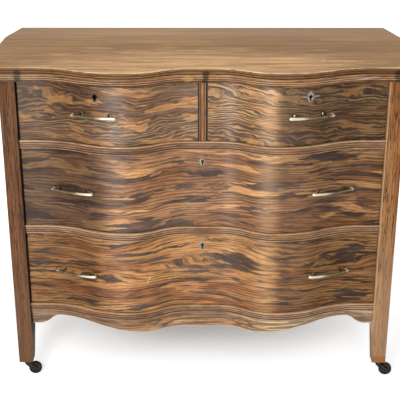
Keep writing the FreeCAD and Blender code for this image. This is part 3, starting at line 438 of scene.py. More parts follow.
def flameOak(name, look):
    # Flat-cut oak veneer. A slow noise stretched along x and a quick small one shift every height up or down,
    # which bends the figure into arches and wavers it. In that bent space dark streaks are drawn-out noise
    # over a threshold, close lines are sine waves of height / pitch, and islands of noise leave the wood
    # clear. Fibres fleck it and a haze greys it. Painted shade darkens the hollow and the wood where x passes
    # from the first to the second number of each shade span, a painted highlight lightens the crest, and the
    # finish is duller towards its ends.
    material, tree, shader = newMaterial(name)
    coords = objectCoords(tree)
    wood = grainSpace(tree, coords, "x", look["shift"])
    figure = noise(tree, wood, look["figure"], 1.6, 0.4, look["wander"])
    wobble = noise(tree, wood, look["wobble"])
    parts = apart(tree, wood)
    height = plus(tree, parts["Z"], centred(tree, figure, look["bend"]))
    height = plus(tree, height, centred(tree, wobble, look["wobbleReach"]))
    bent = joined(tree, parts["X"], 0.0, height)
    fibre = noise(tree, bent, flame["fibre"], 3.0, 0.65)
    ripple = noise(tree, bent, flame["ripple"])
    smoke = noise(tree, bent, flame["smoke"], distortion=0.4)
    clear = step(tree, noise(tree, bent, look["island"], distortion=0.5), *flame["clearShows"])
    streak = noise(tree, bent, look["streaks"], 3.0, 0.6, 0.3)
    streak = plus(tree, streak, centred(tree, fibre, flame["streakFray"]))
    streak = plus(tree, streak, centred(tree, smoke, flame["streakDrift"]))
    streak = step(tree, streak, *look["streakEdge"], 0.0, look["streakDepth"])
    phase = times(tree, height, 2 * math.pi / look["pitch"])
    loose = plus(tree, centred(tree, fibre, flame["lineFray"]), centred(tree, ripple, look["ripple"]))
    wave = calc(tree, "SINE", plus(tree, phase, loose))
    wave = minus(tree, wave, centred(tree, smoke, flame["lineDrift"]))
    lines = step(tree, wave, *look["lineEdge"], 0.0, look["lineDepth"])
    lines = times(tree, lines, step(tree, clear, 0.0, 1.0, 1.0, look["cleared"]))
    tone = step(tree, noise(tree, bent, flame["tone"], 3.0, 0.6), *oak["toneShows"])
    colour = mix(tree, tone, tint(look["warm"]), tint(look["light"]))
    colour = mix(tree, times(tree, clear, look["amber"]), colour, tint(look["amberTint"]))
    colour = mix(tree, lines, colour, tint(look["line"]))
    dark = mix(tree, step(tree, smoke, *flame["smokeShows"]), tint(look["streak"]), tint(look["smoke"]))
    colour = mix(tree, streak, colour, dark)
    colour = washed(tree, colour, fibre, flame["fibreShows"], look["fibre"], look["poreTint"])
    colour = washed(tree, colour, fibre, flame["fleckShows"], look["fleck"], look["light"])
    haze = noise(tree, wood, flame["haze"], 3.0, 0.6)
    colour = washed(tree, colour, haze, flame["hazeShows"], look["haze"], look["hazeTint"])
    pore = step(tree, noise(tree, bent, flame["pore"], 2.0, 0.6), *flame["poreShows"])
    colour = mix(tree, times(tree, pore, look["pore"]), colour, tint(look["poreTint"]))
    along = apart(tree, coords)["X"]
    # painted shade on the flanks that turn from the lamps, in the gaps beside the divider and in the hollow;
    # painted highlight on the right bulge
    for start, end, share in look["paintedShade"]:
        colour = washed(tree, colour, along, (start, end), share, look["paintedShadeTint"])
    fromMiddle = calc(tree, "ABSOLUTE", along)
    colour = washed(tree, colour, fromMiddle, flame["hollowReach"], look["hollow"], look["paintedShadeTint"])
    # painted highlight: a pale band beside the right bulge's crest
    place, half, share = look["crestHighlight"]
    fromCrest = calc(tree, "ABSOLUTE", minus(tree, along, place))
    colour = washed(tree, colour, fromCrest, (half, 0.0), share, look["crestHighlightTint"])
    colour = marked(tree, colour, coords, look["scratches"])
    finishOak(tree, shader, look, colour, fibre, pore)
    polish = step(tree, fromMiddle, *flame["dullReach"], look["specular"], look["dull"])
    tree.links.new(polish, shader.inputs["Specular IOR Level"])
    return material


metal = {
    "rubSwing": 0.8, "wearShows": (0.0, 0.2), "rubShows": (0.2, 0.75), "dirtShows": (0.0, -1.0),
    "dirtAndShade": "050403", "pits": (900, 900, 900), "pitDepth": 0.15, "bumpHeight": 0.0003,
}


def metalFinish(name, clean, tarnish, polishAndHighlight, gloss, spread, cover):
    # Old metal: blotches of tarnish over the clean colour, rougher where tarnished, with faint pitting;
    # pale where the mesh's wear numbers rise above nought, which on the pulls is a painted highlight, and
    # black where they fall below it, which down the keyholes is painted shade.
    material, tree, shader = newMaterial(name)
    coords = objectCoords(tree)
    blotch = noise(tree, coords, (spread, spread, spread), 4.0, 0.6, 0.3)
    mask = step(tree, blotch, *cover)
    colour = mix(tree, mask, tint(clean), tint(tarnish))
    wear = wearOf(tree)
    broken = plus(tree, wear, centred(tree, blotch, metal["rubSwing"]))
    rubbed = times(tree, step(tree, wear, *metal["wearShows"]), step(tree, broken, *metal["rubShows"]))
    colour = mix(tree, rubbed, colour, tint(polishAndHighlight))
    colour = washed(tree, colour, wear, metal["dirtShows"], 1.0, metal["dirtAndShade"])
    tree.links.new(colour, shader.inputs["Base Color"])
    tree.links.new(step(tree, mask, 0.0, 1.0, *gloss), shader.inputs["Roughness"])
    shader.inputs["Metallic"].default_value = 1.0
    addBump(tree, shader, noise(tree, coords, metal["pits"]), metal["pitDepth"], metal["bumpHeight"])
    return material


# looks of the veneers: one for all, changed for the top pair and for each drawer
# the shade spans and the hollow are painted shade, the crest is a painted highlight
frontLook = {
    "figure": (1.6, 0, 10.0), "wander": 0.25, "bend": 0.10, "wobble": (12, 0, 26), "wobbleReach": 0.015,
    "island": (6.0, 0, 40), "streaks": (7, 0, 70), "streakEdge": (0.525, 0.555), "streakDepth": 0.9,
    "pitch": 0.0085, "ripple": 8.0, "lineEdge": (0.1, 0.7), "lineDepth": 0.60, "cleared": 0.3,
    "fibre": 0.62, "fleck": 0.35, "amber": 0.7, "amberTint": "CB9056",
    "warm": "8A562E", "light": "C08E60", "line": "341E11", "streak": "2A190F", "smoke": "453934",
    "haze": 0.12, "hazeTint": "806E62", "pore": 0.45, "poreTint": "28180F", "gloss": (0.34, 0.46),
    "specular": 0.36, "dull": 0.16, "brushed": 0.6, "bump": 0.25, "paintedShadeTint": "1C110A", "hollow": 0.10,
    "crestHighlight": (0.170, 0.045, 0.18), "crestHighlightTint": "CCA06E", "scratches": [],
}
topPairLook = {
    **frontLook, "streaks": (10, 0, 115), "streakEdge": (0.57, 0.60), "streakDepth": 0.7,
    "wobble": (16, 0, 34), "lineEdge": (-0.3, 0.3), "hollow": 0.0,
}
# each shade list is painted shade: right of the right crest, left of the left crest, and on the top pair a
# painted shadow in the gap beside the divider
frontLooks = {
    "top_left": {
        **topPairLook, "island": (9, 0, 40), "bend": 0.13, "wobbleReach": 0.024, "pitch": 0.0070,
        "lineDepth": 0.74, "warm": "7C5638", "light": "A3805C", "shift": (0.0, 0, 0.0),
        "paintedShade": [(-0.225, -0.31, 0.36), (-0.0130, -0.0115, 0.7)],
    },
    "top_right": {
        **topPairLook, "island": (8, 0, 40), "bend": 0.14, "wobbleReach": 0.028, "pitch": 0.0078,
        "lineDepth": 0.84, "warm": "8C5E34", "light": "D4AA76", "haze": 0.06, "smoke": "3A2A20",
        "shift": (0.37, 0, 0.61), "paintedShade": [(0.176, 0.200, 0.58), (0.0148, 0.0128, 0.92)],
    },
    "middle": {
        **frontLook, "streaks": (6, 0, 54), "streakEdge": (0.54, 0.565), "island": (5, 0, 30), "amber": 0.9,
        "amberTint": "D69C62", "shift": (0.74, 0, 1.22),
        "paintedShade": [(0.178, 0.206, 0.34), (-0.205, -0.28, 0.68)],
    },
    "bottom": {
        **frontLook, "haze": 0.04, "warm": "995A2A", "light": "CA9458", "streakEdge": (0.545, 0.575),
        "scratches": [((-0.141, 0.317), (0.006, 0.0025), 1.75, 0.75, "EAD9C4")],
        "shift": (1.11, 0, 1.83), "paintedShade": [(0.178, 0.206, 0.48), (-0.225, -0.31, 0.42)],
    },
}
frontOaks = {name: flameOak(f"{name}_flame_oak", frontLooks[name]) for name in drawers}

# looks of the solid wood
caseLook = {
    "figure": (0.7, 42.0), "wander": 0.1, "bands": 46.0, "fray": 2.4, "drift": 2.0,
    "edge": (-0.2, 1.0), "depth": 0.42, "warm": "6B4326", "light": "875C38", "streak": "432918",
    "pore": 0.6, "poreTint": "2E1B10", "rubbed": "D9B48C", "dirtAndShade": "1B1009", "fibre": 0.45, "patchy": 0.9,
    "gloss": (0.40, 0.54), "specular": 0.3, "brushed": 0.5, "bump": 0.3, "squash": 1.0,
}
topLook = {
    **caseLook, "figure": (1.0, 40.0), "bands": 34.0, "fray": 2.0, "edge": (-0.1, 0.9), "depth": 0.5,
    "warm": "946839", "light": "BC8F5A", "streak": "6F4C2A", "pore": 0.4, "poreTint": "64421F",
    "rubbed": "EED8BA", "dirtAndShade": "4A2B17", "fibre": 0.5, "patchy": 1.5, "gloss": (0.46, 0.62),
    "specular": 0.15, "brushed": 0.0, "bump": 0.2,
}
plainLook = {
    **caseLook, "figure": (0.8, 16.0), "bands": 30.0, "fray": 1.6, "drift": 1.0, "edge": (0.0, 1.1),
    "depth": 0.45, "warm": "AE8450", "light": "C9A36C", "streak": "91693A", "pore": 0.3,
    "poreTint": "82602F", "rubbed": "DDBE98", "dirtAndShade": "5A4024", "patchy": 0.5, "gloss": (0.6, 0.75),
    "specular": 0.25, "brushed": 0.0, "bump": 0.2,
}
caseOaks = {grain: oakFinish(f"case_oak_{grain}", caseLook, grain) for grain in "xyz"}
plainWoods = {grain: oakFinish(f"plain_wood_{grain}", plainLook, grain) for grain in "xyz"}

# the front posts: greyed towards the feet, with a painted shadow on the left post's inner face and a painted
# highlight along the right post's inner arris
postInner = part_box("front_post_right")[0].x
postLook = {**caseLook, "specular": 0.1, "gloss": (0.5, 0.66), "pore": 0.85, "fibre": 0.6}
leftPostLook = {**postLook, "warm": "603A22", "light": "785134"}
leftPostEdges = [
    ("Z", 0.5, 0.1, 0.3, "80624A"),
    # painted shadow on the left post's inner face and arris
    ("X", -postInner - 0.0022, -postInner - 0.0008, 0.95, "0A0705"),
]
rightPostLook = {**postLook, "warm": "965F32", "light": "B28052", "streak": "6A4425"}
rightPostEdges = [
    ("Z", 0.55, 0.12, 0.5, "B59374"),
    ("Z", 0.068, 0.058, 0.7, "96582A"),
    # painted highlight along the right post's inner arris
    ("X", postInner + 0.0024, postInner + 0.0006, 0.75, "D2AE86"),
]
postOaks = {
    "front_post_left": oakFinish("left_post_oak", leftPostLook, "z", (0.2, 0.4, 0.1), leftPostEdges),
    "front_post_right": oakFinish("right_post_oak", rightPostLook, "z", (0.7, 0.1, 0.3), rightPostEdges),
}

# the top: greyed at the back, brown at the ends, pale in front; dark bands on its edge run on down the
# moulding
darkBands = [(-0.456, 0.012, 0.8), (0.008, 0.010, 0.8), (0.481, 0.010, 0.7)]
topDarkBands = [((x, 0.872), (0.012, 0.009), 0.0, 0.75, "1A120C") for x, half, share in darkBands]
topEdges = [
    ("Y", 0.06, 0.22, 0.4, "BE9F82"),
    ("X", -0.2, -0.5, 0.3, "8E6A42"),
    ("X", 0.2, 0.5, 0.3, "8E6A42"),
]
topPatches = [
    ((-0.02, -0.19), (0.50, 0.22), 0.0, 0.8, "FAC68A"),
    ((-0.19, 0.02), (0.09, 0.07), 0.0, 0.35, "7A5632"),
    ((0.20, 0.085), (0.22, 0.10), 0.0, 0.35, "7E5836"),
    ((-0.27, 0.0), (0.05, 0.016), 0.0, 0.5, "E2C8A4"),
    ((0.31, -0.02), (0.03, 0.012), 0.0, 0.5, "E2C8A4"),
    ((0.305, -0.14), (0.0016, 0.07), 0.0, 0.6, "EAD6B4"),
]
topOak = oakFinish("top_oak_board", topLook, "x", (0, 0, 0), topEdges, topDarkBands, topPatches)

# the serpentine pieces, polished along their run
sheenLook = {**caseLook, "gloss": (0.30, 0.42), "brushed": 0.6, "squash": 0.2}
railOak = oakFinish("rail_oak", sheenLook, "x", (0.5, 0.3, 0.9))
mouldingLook = {**sheenLook, "specular": 0.22, "pore": 0.75, "warm": "82532F", "light": "A6774A",
                "dirtAndShade": "26170D"}
mouldingEdges = [("X", -0.06, -0.24, 0.3, "2E1C10")]
mouldingMarks = [((x, 0.860), (half, 0.030), 0.0, share, "1A120C") for x, half, share in darkBands]
mouldingMarks += [
    ((-0.036, 0.858), (0.018, 0.007), 0.0, 0.4, "C9A050"),
    ((0.405, 0.858), (0.034, 0.0026), 0.12, 0.5, "B9BDBD"),
]
mouldingOak = oakFinish("moulding_oak", mouldingLook, "x", (0.3, 0.2, 0.5), mouldingEdges, mouldingMarks)
apronLook = {**sheenLook, "figure": (1.0, 40.0), "bands": 60.0, "warm": "AC7C50", "light": "EECBA0",
             "streak": "3E2818", "depth": 0.62, "edge": (-0.1, 0.8), "fray": 2.0, "fibre": 0.6}
# painted shade: the apron darkens towards its ends
apronEndShade = [("X", -0.08, -0.28, 0.5, "4A3728"), ("X", 0.20, 0.34, 0.55, "5A4637")]
apronOak = oakFinish("apron_oak", apronLook, "x", (0.1, 0.7, 0.2), apronEndShade)
dividerLook = {**caseLook, "warm": "84532A", "light": "A67546"}
dividerOak = oakFinish("divider_oak", dividerLook, "z", (0.4, 0.2, 0.6))

# the third colour of each metal is its rubbed polish, which on the pulls is a painted highlight
agedBrass = metalFinish("aged_brass", "7A6D50", "3A3021", "C6BAA0", (0.2, 0.36), 260, (0.42, 0.70))
palePewter = metalFinish("pale_pewter", "93877A", "5C5147", "B8AC9E", (0.3, 0.5), 200, (0.45, 0.75))
dullSteel = metalFinish("dull_steel", "77725F", "453F34", "9A9686", (0.42, 0.6), 110, (0.4, 0.7))
blackIron = metalFinish("black_iron", "3A3632", "221E1B", "4A4540", (0.35, 0.6), 150, (0.4, 0.7))
print("materials made")

# finishes of the frame's own nodes: material by the slot and the way the grain runs
uprightNodes = ("post", "side_panel", "divider")
deepNodes = ("side_rails", "runner", "kickers", "sides", "stops")
slotMetals = {"pull_brass": agedBrass, "lock_steel": dullSteel, "caster_iron": blackIron}
for name, node in nodes.items():
    slotName = node.data.materials[0].name
    upright = any(word in name for word in uprightNodes)
    deep = any(word in name for word in deepNodes)
    grain = "z" if upright else "y" if deep else "x"
    if name in postOaks:
        material = postOaks[name]
    elif slotName in slotMetals:
        material = slotMetals[slotName]
    elif slotName == "plain_wood":
        material = plainWoods[grain]
    elif slotName == "top_oak":
        material = topOak
    else:
        material = caseOaks[grain]
    node.data.materials[0] = material
print("frame nodes finished")

# veneered drawer faces with their keyholes

veneer = {
    "proud": 0.0006, "thickness": 0.001, "columnStep": 0.004, "rowStep": 0.015, "lap": 0.0009,
    "patchHalf": 0.016, "patchCells": 14,
    "keyRadius": 0.0034, "slotHalf": 0.0018, "slotLength": 0.011, "keyDrop": 0.0305,
}
keyPlaces = {"top_left": -topMiddle, "top_right": topMiddle, "middle": 0.0, "bottom": 0.0}


def keyPlace(name):
    # The x and z of the keyhole's eye.
    return keyPlaces[name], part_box(f"{name}_drawer_front")[1].z - veneer["keyDrop"]


def keyOutline(angle, grow=0.0):
    # Distance of the keyhole's edge from its eye's centre: the round eye, or the slot where that reaches
    # further down.
    down = np.sin(angle) < 0
    side = (veneer["slotHalf"] + grow) / np.maximum(np.abs(np.cos(angle)), 1e-6)
    end = (veneer["slotLength"] + grow) / np.maximum(np.abs(np.sin(angle)), 1e-6)
    return np.maximum(veneer["keyRadius"] + grow, np.where(down, np.minimum(side, end), 0.0))


def patchLines(low, high, spacing, middle):
    # Grid lines from low to high about one spacing apart, with even lines across the keyhole's patch.
    first, last = middle - veneer["patchHalf"], middle + veneer["patchHalf"]
    before = np.linspace(low, first, max(2, round((first - low) / spacing) + 1))[:-1]
    after = np.linspace(last, high, max(2, round((high - last) / spacing) + 1))[1:]
    patch = np.linspace(first, last, veneer["patchCells"] + 1)
    return np.concatenate([before, patch, after]), len(before)


def veneerFace(name):
    # Grid over the drawer's face, lapping a little below it, less a square about the keyhole, which a ring
    # from square to keyhole fills.
    low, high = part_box(f"{name}_drawer_front")
    keyX, keyZ = keyPlace(name)
    xs, firstColumn = patchLines(low.x, high.x, veneer["columnStep"], keyX)
    zs, firstRow = patchLines(low.z - veneer["lap"], high.z, veneer["rowStep"], keyZ)
    grid = onFace(xs[None, :], zs[:, None], veneer["proud"])
    rows, columns = len(zs), len(xs)
    cells = veneer["patchCells"]
    numbers = np.arange(rows * columns).reshape(rows, columns)
    patch = numbers[firstRow:firstRow + cells + 1, firstColumn:firstColumn + cells + 1]
    quads = gridQuads(rows, columns).reshape(rows - 1, columns - 1, 4)
    kept = np.ones((rows - 1, columns - 1), bool)
    kept[firstRow:firstRow + cells, firstColumn:firstColumn + cells] = False
    border = np.concatenate([patch[0, :-1], patch[:-1, -1], patch[-1, :0:-1], patch[:0:-1, 0]])
    angle = np.arctan2(zs[border // columns] - keyZ, xs[border % columns] - keyX)
    edge = keyOutline(angle)
    ring = onFace(keyX + edge * np.cos(angle), keyZ + edge * np.sin(angle), veneer["proud"])
    inner = rows * columns + np.arange(len(border))
    ringQuads = np.stack([border, np.roll(border, -1), np.roll(inner, -1), inner], axis=-1)
    points = np.concatenate([grid.reshape(-1, 3), ring])
    used = np.setdiff1d(np.arange(len(points)), patch[1:-1, 1:-1].ravel())
    renumber = np.zeros(len(points), int)
    renumber[used] = np.arange(len(used))
    return points[used], renumber[np.concatenate([quads[kept], ringQuads])], []


for name in drawers:
    addPiece(f"{name}_veneer", [veneerFace(name)], f"{name}_drawer", frontOaks[name],
             closed=False, thickness=veneer["thickness"])
print("veneers laid")

# moulded facings of the rails: a bead over a shallow band with a small bead at its foot

railFacing = {
    "reach": [3.5, 6.4, 7.5, 7.9, 7.5, 6.6, 6.2, 6.6, 6.7, 5.8,
              6.5, 6.3, 6.4, 7.6, 9.3, 9.9, 9.9, 9.3, 7.6, 1.0],
    "rise": [-0.3, -0.3, 0.3, 1.5, 2.8, 3.6, 4.2, 5.2, 8.2, 9.0,
             9.8, 13.8, 14.9, 15.0, 15.6, 17.3, 20.0, 21.6, 22.15, 22.15],
    # wear below nought under the bead and in the quirks is dirt and painted shade
    "wear": [-0.9, -0.9, -0.4, 0.7, 0.2, -0.8, -0.5, 0.1, 0.5, -0.7,
             0.1, 0.5, -0.9, -0.9, -0.2, 0.1, 0.4, 0.9, 0.8, 0.3],
    "columns": 260, "footRub": 0.12, "leastRub": 0.05,
}


def railStrip(low, high):
    # The facing's profile of reach and rise carried along the serpentine face from end to end of a rail.
    xs = np.linspace(low.x, high.x, railFacing["columns"])
    lead, z = metres(railFacing["reach"]), low.z + metres(railFacing["rise"])
    return sweep(onFace(xs[None, :], z[:, None], lead[:, None]))


railWear = np.repeat(railFacing["wear"], railFacing["columns"])
footWear = railWear + railFacing["footRub"] * slant(len(railFacing["wear"]), railFacing["columns"])
footWear = np.where(railWear > 0, np.maximum(footWear, railFacing["leastRub"]), railWear)
for name, wear in (("upper_rail", railWear), ("lower_rail", railWear), ("bottom_rail", footWear)):
    addPiece(f"{name}_moulding", [railStrip(*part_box(name))], "case", railOak, wear)
print("rail mouldings run")

# apron with its scalloped lower edge

apron = {
    "lead": 0.0032, "thickness": 0.020, "arris": 0.0012, "flatHalf": 0.085, "archPlace": 0.382,
    "archRise": 0.028, "tailPlace": 0.446, "tailFall": 0.026, "columns": 280, "rows": 12,
    "wear": [0.8, 0.2, 0, 0, 0, 0, 0, 0, 0, 0.2, 0.4, -0.7], "rub": 0.25,
}


def apronFace():
    # Face grid between the scalloped edge and the rail: the edge climbs one S-curve to the arch and falls
    # another.
    low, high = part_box("apron")
    xs = np.linspace(low.x, high.x, apron["columns"])
    reach = np.abs(xs)
    climb = arcStep(reach - apron["flatHalf"], apron["archPlace"] - apron["flatHalf"], apron["archRise"])[0]
    tailRun = apron["tailPlace"] - apron["archPlace"]
    fall = arcStep(reach - apron["archPlace"], tailRun, apron["tailFall"])[0]
    edge = low.z + climb - fall
    share = np.linspace(0, 1, apron["rows"])[:, None]
    zs = edge + (high.z - edge) * share
    return onFace(xs[None, :], zs, apron["lead"]), gridQuads(apron["rows"], apron["columns"]), []


apronWear = np.repeat(apron["wear"], apron["columns"])
apronRub = slant(apron["rows"], apron["columns"]).clip(0) * apron["rub"]
apronWear = np.where(apronWear < 0, apronWear, apronWear + apronRub)
addPiece("apron_board", [apronFace()], "case", apronOak, apronWear, closed=False,
         stands=["apron"], thickness=apron["thickness"], bevel=apron["arris"])
print("apron cut")

# top board with its nosing, bead and cove, and the moulding under it

topEdge = {
    "lead": 0.030, "cornerEase": 0.024, "cornerRun": 0.125, "columns": 260,
    "inset": [6.0, 6.0, 5.2, 2.6, 1.6, 1.2, 1.6, 2.8, 2.6, 0.6, 0.0, 0.0, 0.5, 1.8, 5.0],
    "rise": [0.0, 2.2, 3.4, 3.6, 4.4, 5.6, 6.8, 7.8, 9.0, 9.4, 10.6, 14.6, 16.3, 17.0, 17.0],
    "wear": [-0.9, -0.9, -1.0, -0.75, -0.65, -0.6, -0.65, -1.0, -0.95, -0.75, -0.7, -0.7, 0.62, 0.5, 0.0],
}
moulding = {
    "inset": [3.6, 1.5, 0.9, 0.9, 1.9, 1.2, 0.8, 0.8, 1.8, 1.1, 0.8, 0.8, 1.7, 1.1, 0.8, 1.2, 2.0, 3.6],
    "rise": [-0.3, -0.3, 0.5, 2.6, 3.4, 4.2, 5.4, 7.0, 7.9,
             8.8, 10.0, 11.8, 12.6, 13.4, 14.6, 16.8, 18.2, 18.4],
    "wear": [-1.0, -1.0, -0.8, 0.3, -0.9, -0.2, 0.3, 0.6, -0.8,
             -0.2, 0.3, 0.6, -0.7, 0, 0.2, 0.4, 0.1, -0.5],
}
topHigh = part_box("top_board")[1]


def edgeLines(profile, base, rearY):
    # A profile's lines round the front and sides of the top, each drawn in by its inset: left rear, eased
    # corner, side, serpentine front, and the same again on the right. The eased corner's line is followed
    # back to rearY.
    e = topEdge
    inset, z = metres(profile["inset"])[:, None], base + metres(profile["rise"])[:, None]
    xs = np.linspace(-serpentine["sweepEnd"], serpentine["sweepEnd"], e["columns"])[None, :]
    front = onFace(xs, z, e["lead"] - inset)
    sideX = topHigh.x - inset
    frontY = faceLine - e["lead"] + inset
    easeY = topHigh.y - e["cornerRun"]
    rearX = sideX - e["cornerEase"] * (rearY - easeY) / e["cornerRun"]
    corners = ((sideX, frontY), (sideX, easeY), (rearX, rearY))
    ends = [np.stack(np.broadcast_arrays(x, y, z), axis=-1) for x, y in corners]
    return np.concatenate([*[end * mirror for end in ends[::-1]], front, *ends], axis=1)


low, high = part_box("top_board")
lines = edgeLines(topEdge, low.z, high.y)
rows, columns = lines.shape[:2]
topShell = lines, gridQuads(rows, columns, closeColumns=True), endRings(rows, columns)
addPiece("top_board_moulded", [topShell], "case", topOak, np.repeat(topEdge["wear"], columns),
         stands=["top_board"])
low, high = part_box("top_moulding")
lines = edgeLines(moulding, low.z, high.y)
addPiece("top_moulding_facing", [sweep(lines)], "case", mouldingOak,
         np.repeat(moulding["wear"], lines.shape[1]))
print("top and its moulding made")

# reeded facing of the divider between the top drawers

divider = {
    "across": [-9.2, -9.2, -8.6, -5.6, -4.5, -3.6, -1.8, 1.8, 3.6, 4.5, 5.6, 8.6, 9.2, 9.2],
    "lead": [-2.0, 0.6, 1.3, 1.3, 0.2, 1.4, 2.1, 2.1, 1.4, 0.2, 1.3, 1.3, 0.6, -2.0],
    # the dark wear at both sides is painted shade of the gaps beside the drawers
    "wear": [-1.0, -0.9, -0.5, 0.2, -0.9, -0.2, 0.3, 0.3, -0.2, -0.9, 0.2, -0.5, -0.9, -1.0],
    "heights": 3,
}
low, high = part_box("drawer_divider")
x, y = metres(divider["across"])[:, None], low.y - metres(divider["lead"])[:, None]
z = np.linspace(low.z, high.z, divider["heights"])[None, :]
reeds = sweep(np.stack(np.broadcast_arrays(x, y, z), axis=-1))
addPiece("divider_facing", [reeds], "case", dividerOak,
         np.repeat(divider["wear"], divider["heights"]))
print("divider reeded")

# cast pulls: a bowed bar with scrolled ends on two turned posts

pull = {
    "longPlace": 0.329, "halfSpan": 0.038, "standoff": 0.024, "bow": 0.003, "tail": 0.018,
    "scrollStart": 0.0056, "scrollEnd": 0.0030, "scrollTurn": 215, "steps": 40, "ringCount": 16,
    # the polish shares and the tip and post shares lay a painted highlight on the bar
    "half": (0.0029, 0.0026, 0.0017), "high": (0.0034, 0.0042, 0.0030), "polish": (0.10, 0.70),
    "tipFrom": -1.3, "tipHighlight": 0.5, "postHighlight": 0.4,
    "post": ([5.6, 6.3, 6.3, 5.6, 4.4, 3.9, 2.7, 2.2, 2.2, 2.6, 3.2, 3.4, 2.6],
             [-5.0, -4.0, 1.0, 1.8, 2.2, 3.0, 4.0, 6.5, 13.0, 18.0, 20.8, 23.0, 25.5], 20),
}
pullPlaces = {"top_left": [-topMiddle], "top_right": [topMiddle]}
longPlaces = [-pull["longPlace"], pull["longPlace"]]


def pullBar():
    # Bar in its own plane: headings turn slowly along the bow, then fast round a scroll that tightens, and
    # the path is the running sum of short steps along them; the left half is the mirror image.
    p = pull
    bowRadius = (p["halfSpan"] ** 2 + p["bow"] ** 2) / (2 * p["bow"])
    bowTurn = math.asin((p["halfSpan"] + p["tail"]) / bowRadius)
    bowHeads = np.linspace(0, bowTurn, p["steps"])
    bowSteps = np.full(p["steps"] - 1, bowRadius * bowTurn / (p["steps"] - 1))
    share = np.linspace(0, 1, p["steps"])[1:]
    radius = p["scrollStart"] + (p["scrollEnd"] - p["scrollStart"]) * share
    scrollTurn = math.radians(p["scrollTurn"])
    heads = np.concatenate([bowHeads, bowTurn + scrollTurn * share])
    steps = np.concatenate([bowSteps, radius * scrollTurn / len(share)])
    middle = (heads[1:] + heads[:-1]) / 2
    x = np.concatenate([[0], np.cumsum(steps * np.cos(middle))])
    y = np.concatenate([[0], np.cumsum(steps * np.sin(middle))]) - p["standoff"] - p["bow"]
    right = np.stack([x, y, 0 * x], axis=-1)
    normal = np.stack([-np.sin(heads), np.cos(heads), 0 * heads], axis=-1)
    path = np.concatenate([right[:0:-1] * mirror, right])
    side = np.concatenate([normal[:0:-1] * mirror, normal])
    up = np.broadcast_to(np.array([0.0, 0.0, 1.0]), path.shape)
    run = np.concatenate([np.linspace(0, 1, p["steps"]), 1 + share])
    run = np.concatenate([run[:0:-1], run])
    half, high = np.interp(run, [0, 1, 2], p["half"]), np.interp(run, [0, 1, 2], p["high"])
    return tube(path, side, up, half, high, p["ringCount"])


def pullShells(x, z):
    # Bar and posts turned to the face at x. A painted highlight, laid on as polish, grows along the bar
    # towards the middle of the chest, and shows again on the outer tip.
    post = lathe(pull["post"])
    shells = [pullBar(), *[laidOver(post, hand * pull["halfSpan"]) for hand in (-1, 1)]]
    along = np.concatenate([points[..., 0].ravel() for points, quads, caps in shells])
    inward = -np.sign(x) * along / pull["halfSpan"]
    wear = np.clip(pull["polish"][0] + pull["polish"][1] * inward, 0, 1)
    wear = np.where(inward < pull["tipFrom"], pull["tipHighlight"], wear)
    wear[shells[0][0].size // 3:] *= pull["postHighlight"]
    place = onFace(np.array(x), np.array(z), 0.0)
    return [turned(shell, faceTurn(x), place) for shell in shells], wear


for name in drawers:
    low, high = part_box(f"{name}_drawer_front")
    shells, wear = [], []
    for x in pullPlaces.get(name, longPlaces):
        newShells, newWear = pullShells(x, (low.z + high.z) / 2)
        shells += newShells
        wear.append(newWear)
    addPiece(f"{name}_cast_pull", shells, f"{name}_drawer", agedBrass, np.concatenate(wear),
             stands=[f"{name}_drawer_pull"], angle=50)
print("pulls cast")

# keyhole liners, and the winged plate on the top right drawer

# in the liner and the plate the rows of wear -1 run down into the keyhole and paint its walls black as shade
liner = {
    "rise": [-10.0, 0.48, 1.2, 1.2, 0.84, -1.0], "share": [0, 0, 0.12, 0.6, 1, 1], "count": 64,
    "wear": [-1.0, -1.0, 0.2, 0.4, 0.3, 0], "dullWear": [-1.0, -1.0, -1.0, -0.6, -0.5, -0.4],
    "half": (0.0072, 0.0108), "drop": 0.0030, "lap": 0.0002,
    "pin": ([1.3, 1.3, 1.0, 0.4], [-1.0, 0.2, 0.9, 1.2], 12), "pinPlaces": (-0.016, 0.020), "pinDrop": 0.001,
}
plate = {
    "rise": [-10.0, 2.2, 2.86, 2.2, 1.76, -1.0], "share": [0, 0, 0.35, 0.8, 1, 1], "count": 160,
    "wear": [-1.0, -0.8, 0, 0, 0, 0],
    "half": (0.0092, 0.0122), "drop": 0.0, "lap": 0.0002, "point": (0.0032, 0.22), "wing": (0.0145, 0.15),
}


def keyRing(name, trim, outer):
    # Ring round a keyhole: shares run from the hole's edge (0) to the outer line (1) at each rise over the
    # face.
    keyX, keyZ = keyPlace(name)
    angle = ringAngles(trim["count"])
    hole, rim = keyOutline(angle, -trim["lap"]), outer(angle)
    share, rise = np.array(trim["share"])[:, None], metres(trim["rise"])[:, None]
    x = keyX + (hole + (rim - hole) * share) * np.cos(angle)
    z = keyZ + (hole + (rim - hole) * share) * np.sin(angle) - trim["drop"] * share
    return onFace(x, z, rise), gridQuads(len(share), trim["count"], closeRows=True, closeColumns=True), []


def ellipse(angle, half):
    # Distance of an ellipse from its centre: a b / sqrt((b cos)^2 + (a sin)^2).
    a, b = half
    return a * b / np.sqrt((b * np.cos(angle)) ** 2 + (a * np.sin(angle)) ** 2)


def linerRim(angle):
    # The liner's outer line is a plain ellipse.
    return ellipse(angle, liner["half"])


def plateRim(angle):
    # Cartouche: an ellipse, plus a bell curve of reach exp(-(angle / spread)^2) at head and foot and at each
    # wing.
    fromSide = np.abs(np.arcsin(np.sin(angle)))
    (pointReach, pointSpread), (wingReach, wingSpread) = plate["point"], plate["wing"]
    point = pointReach * np.exp(-((math.pi / 2 - fromSide) / pointSpread) ** 2)
    wing = wingReach * np.exp(-(fromSide / wingSpread) ** 2)
    return ellipse(angle, plate["half"]) + point + wing


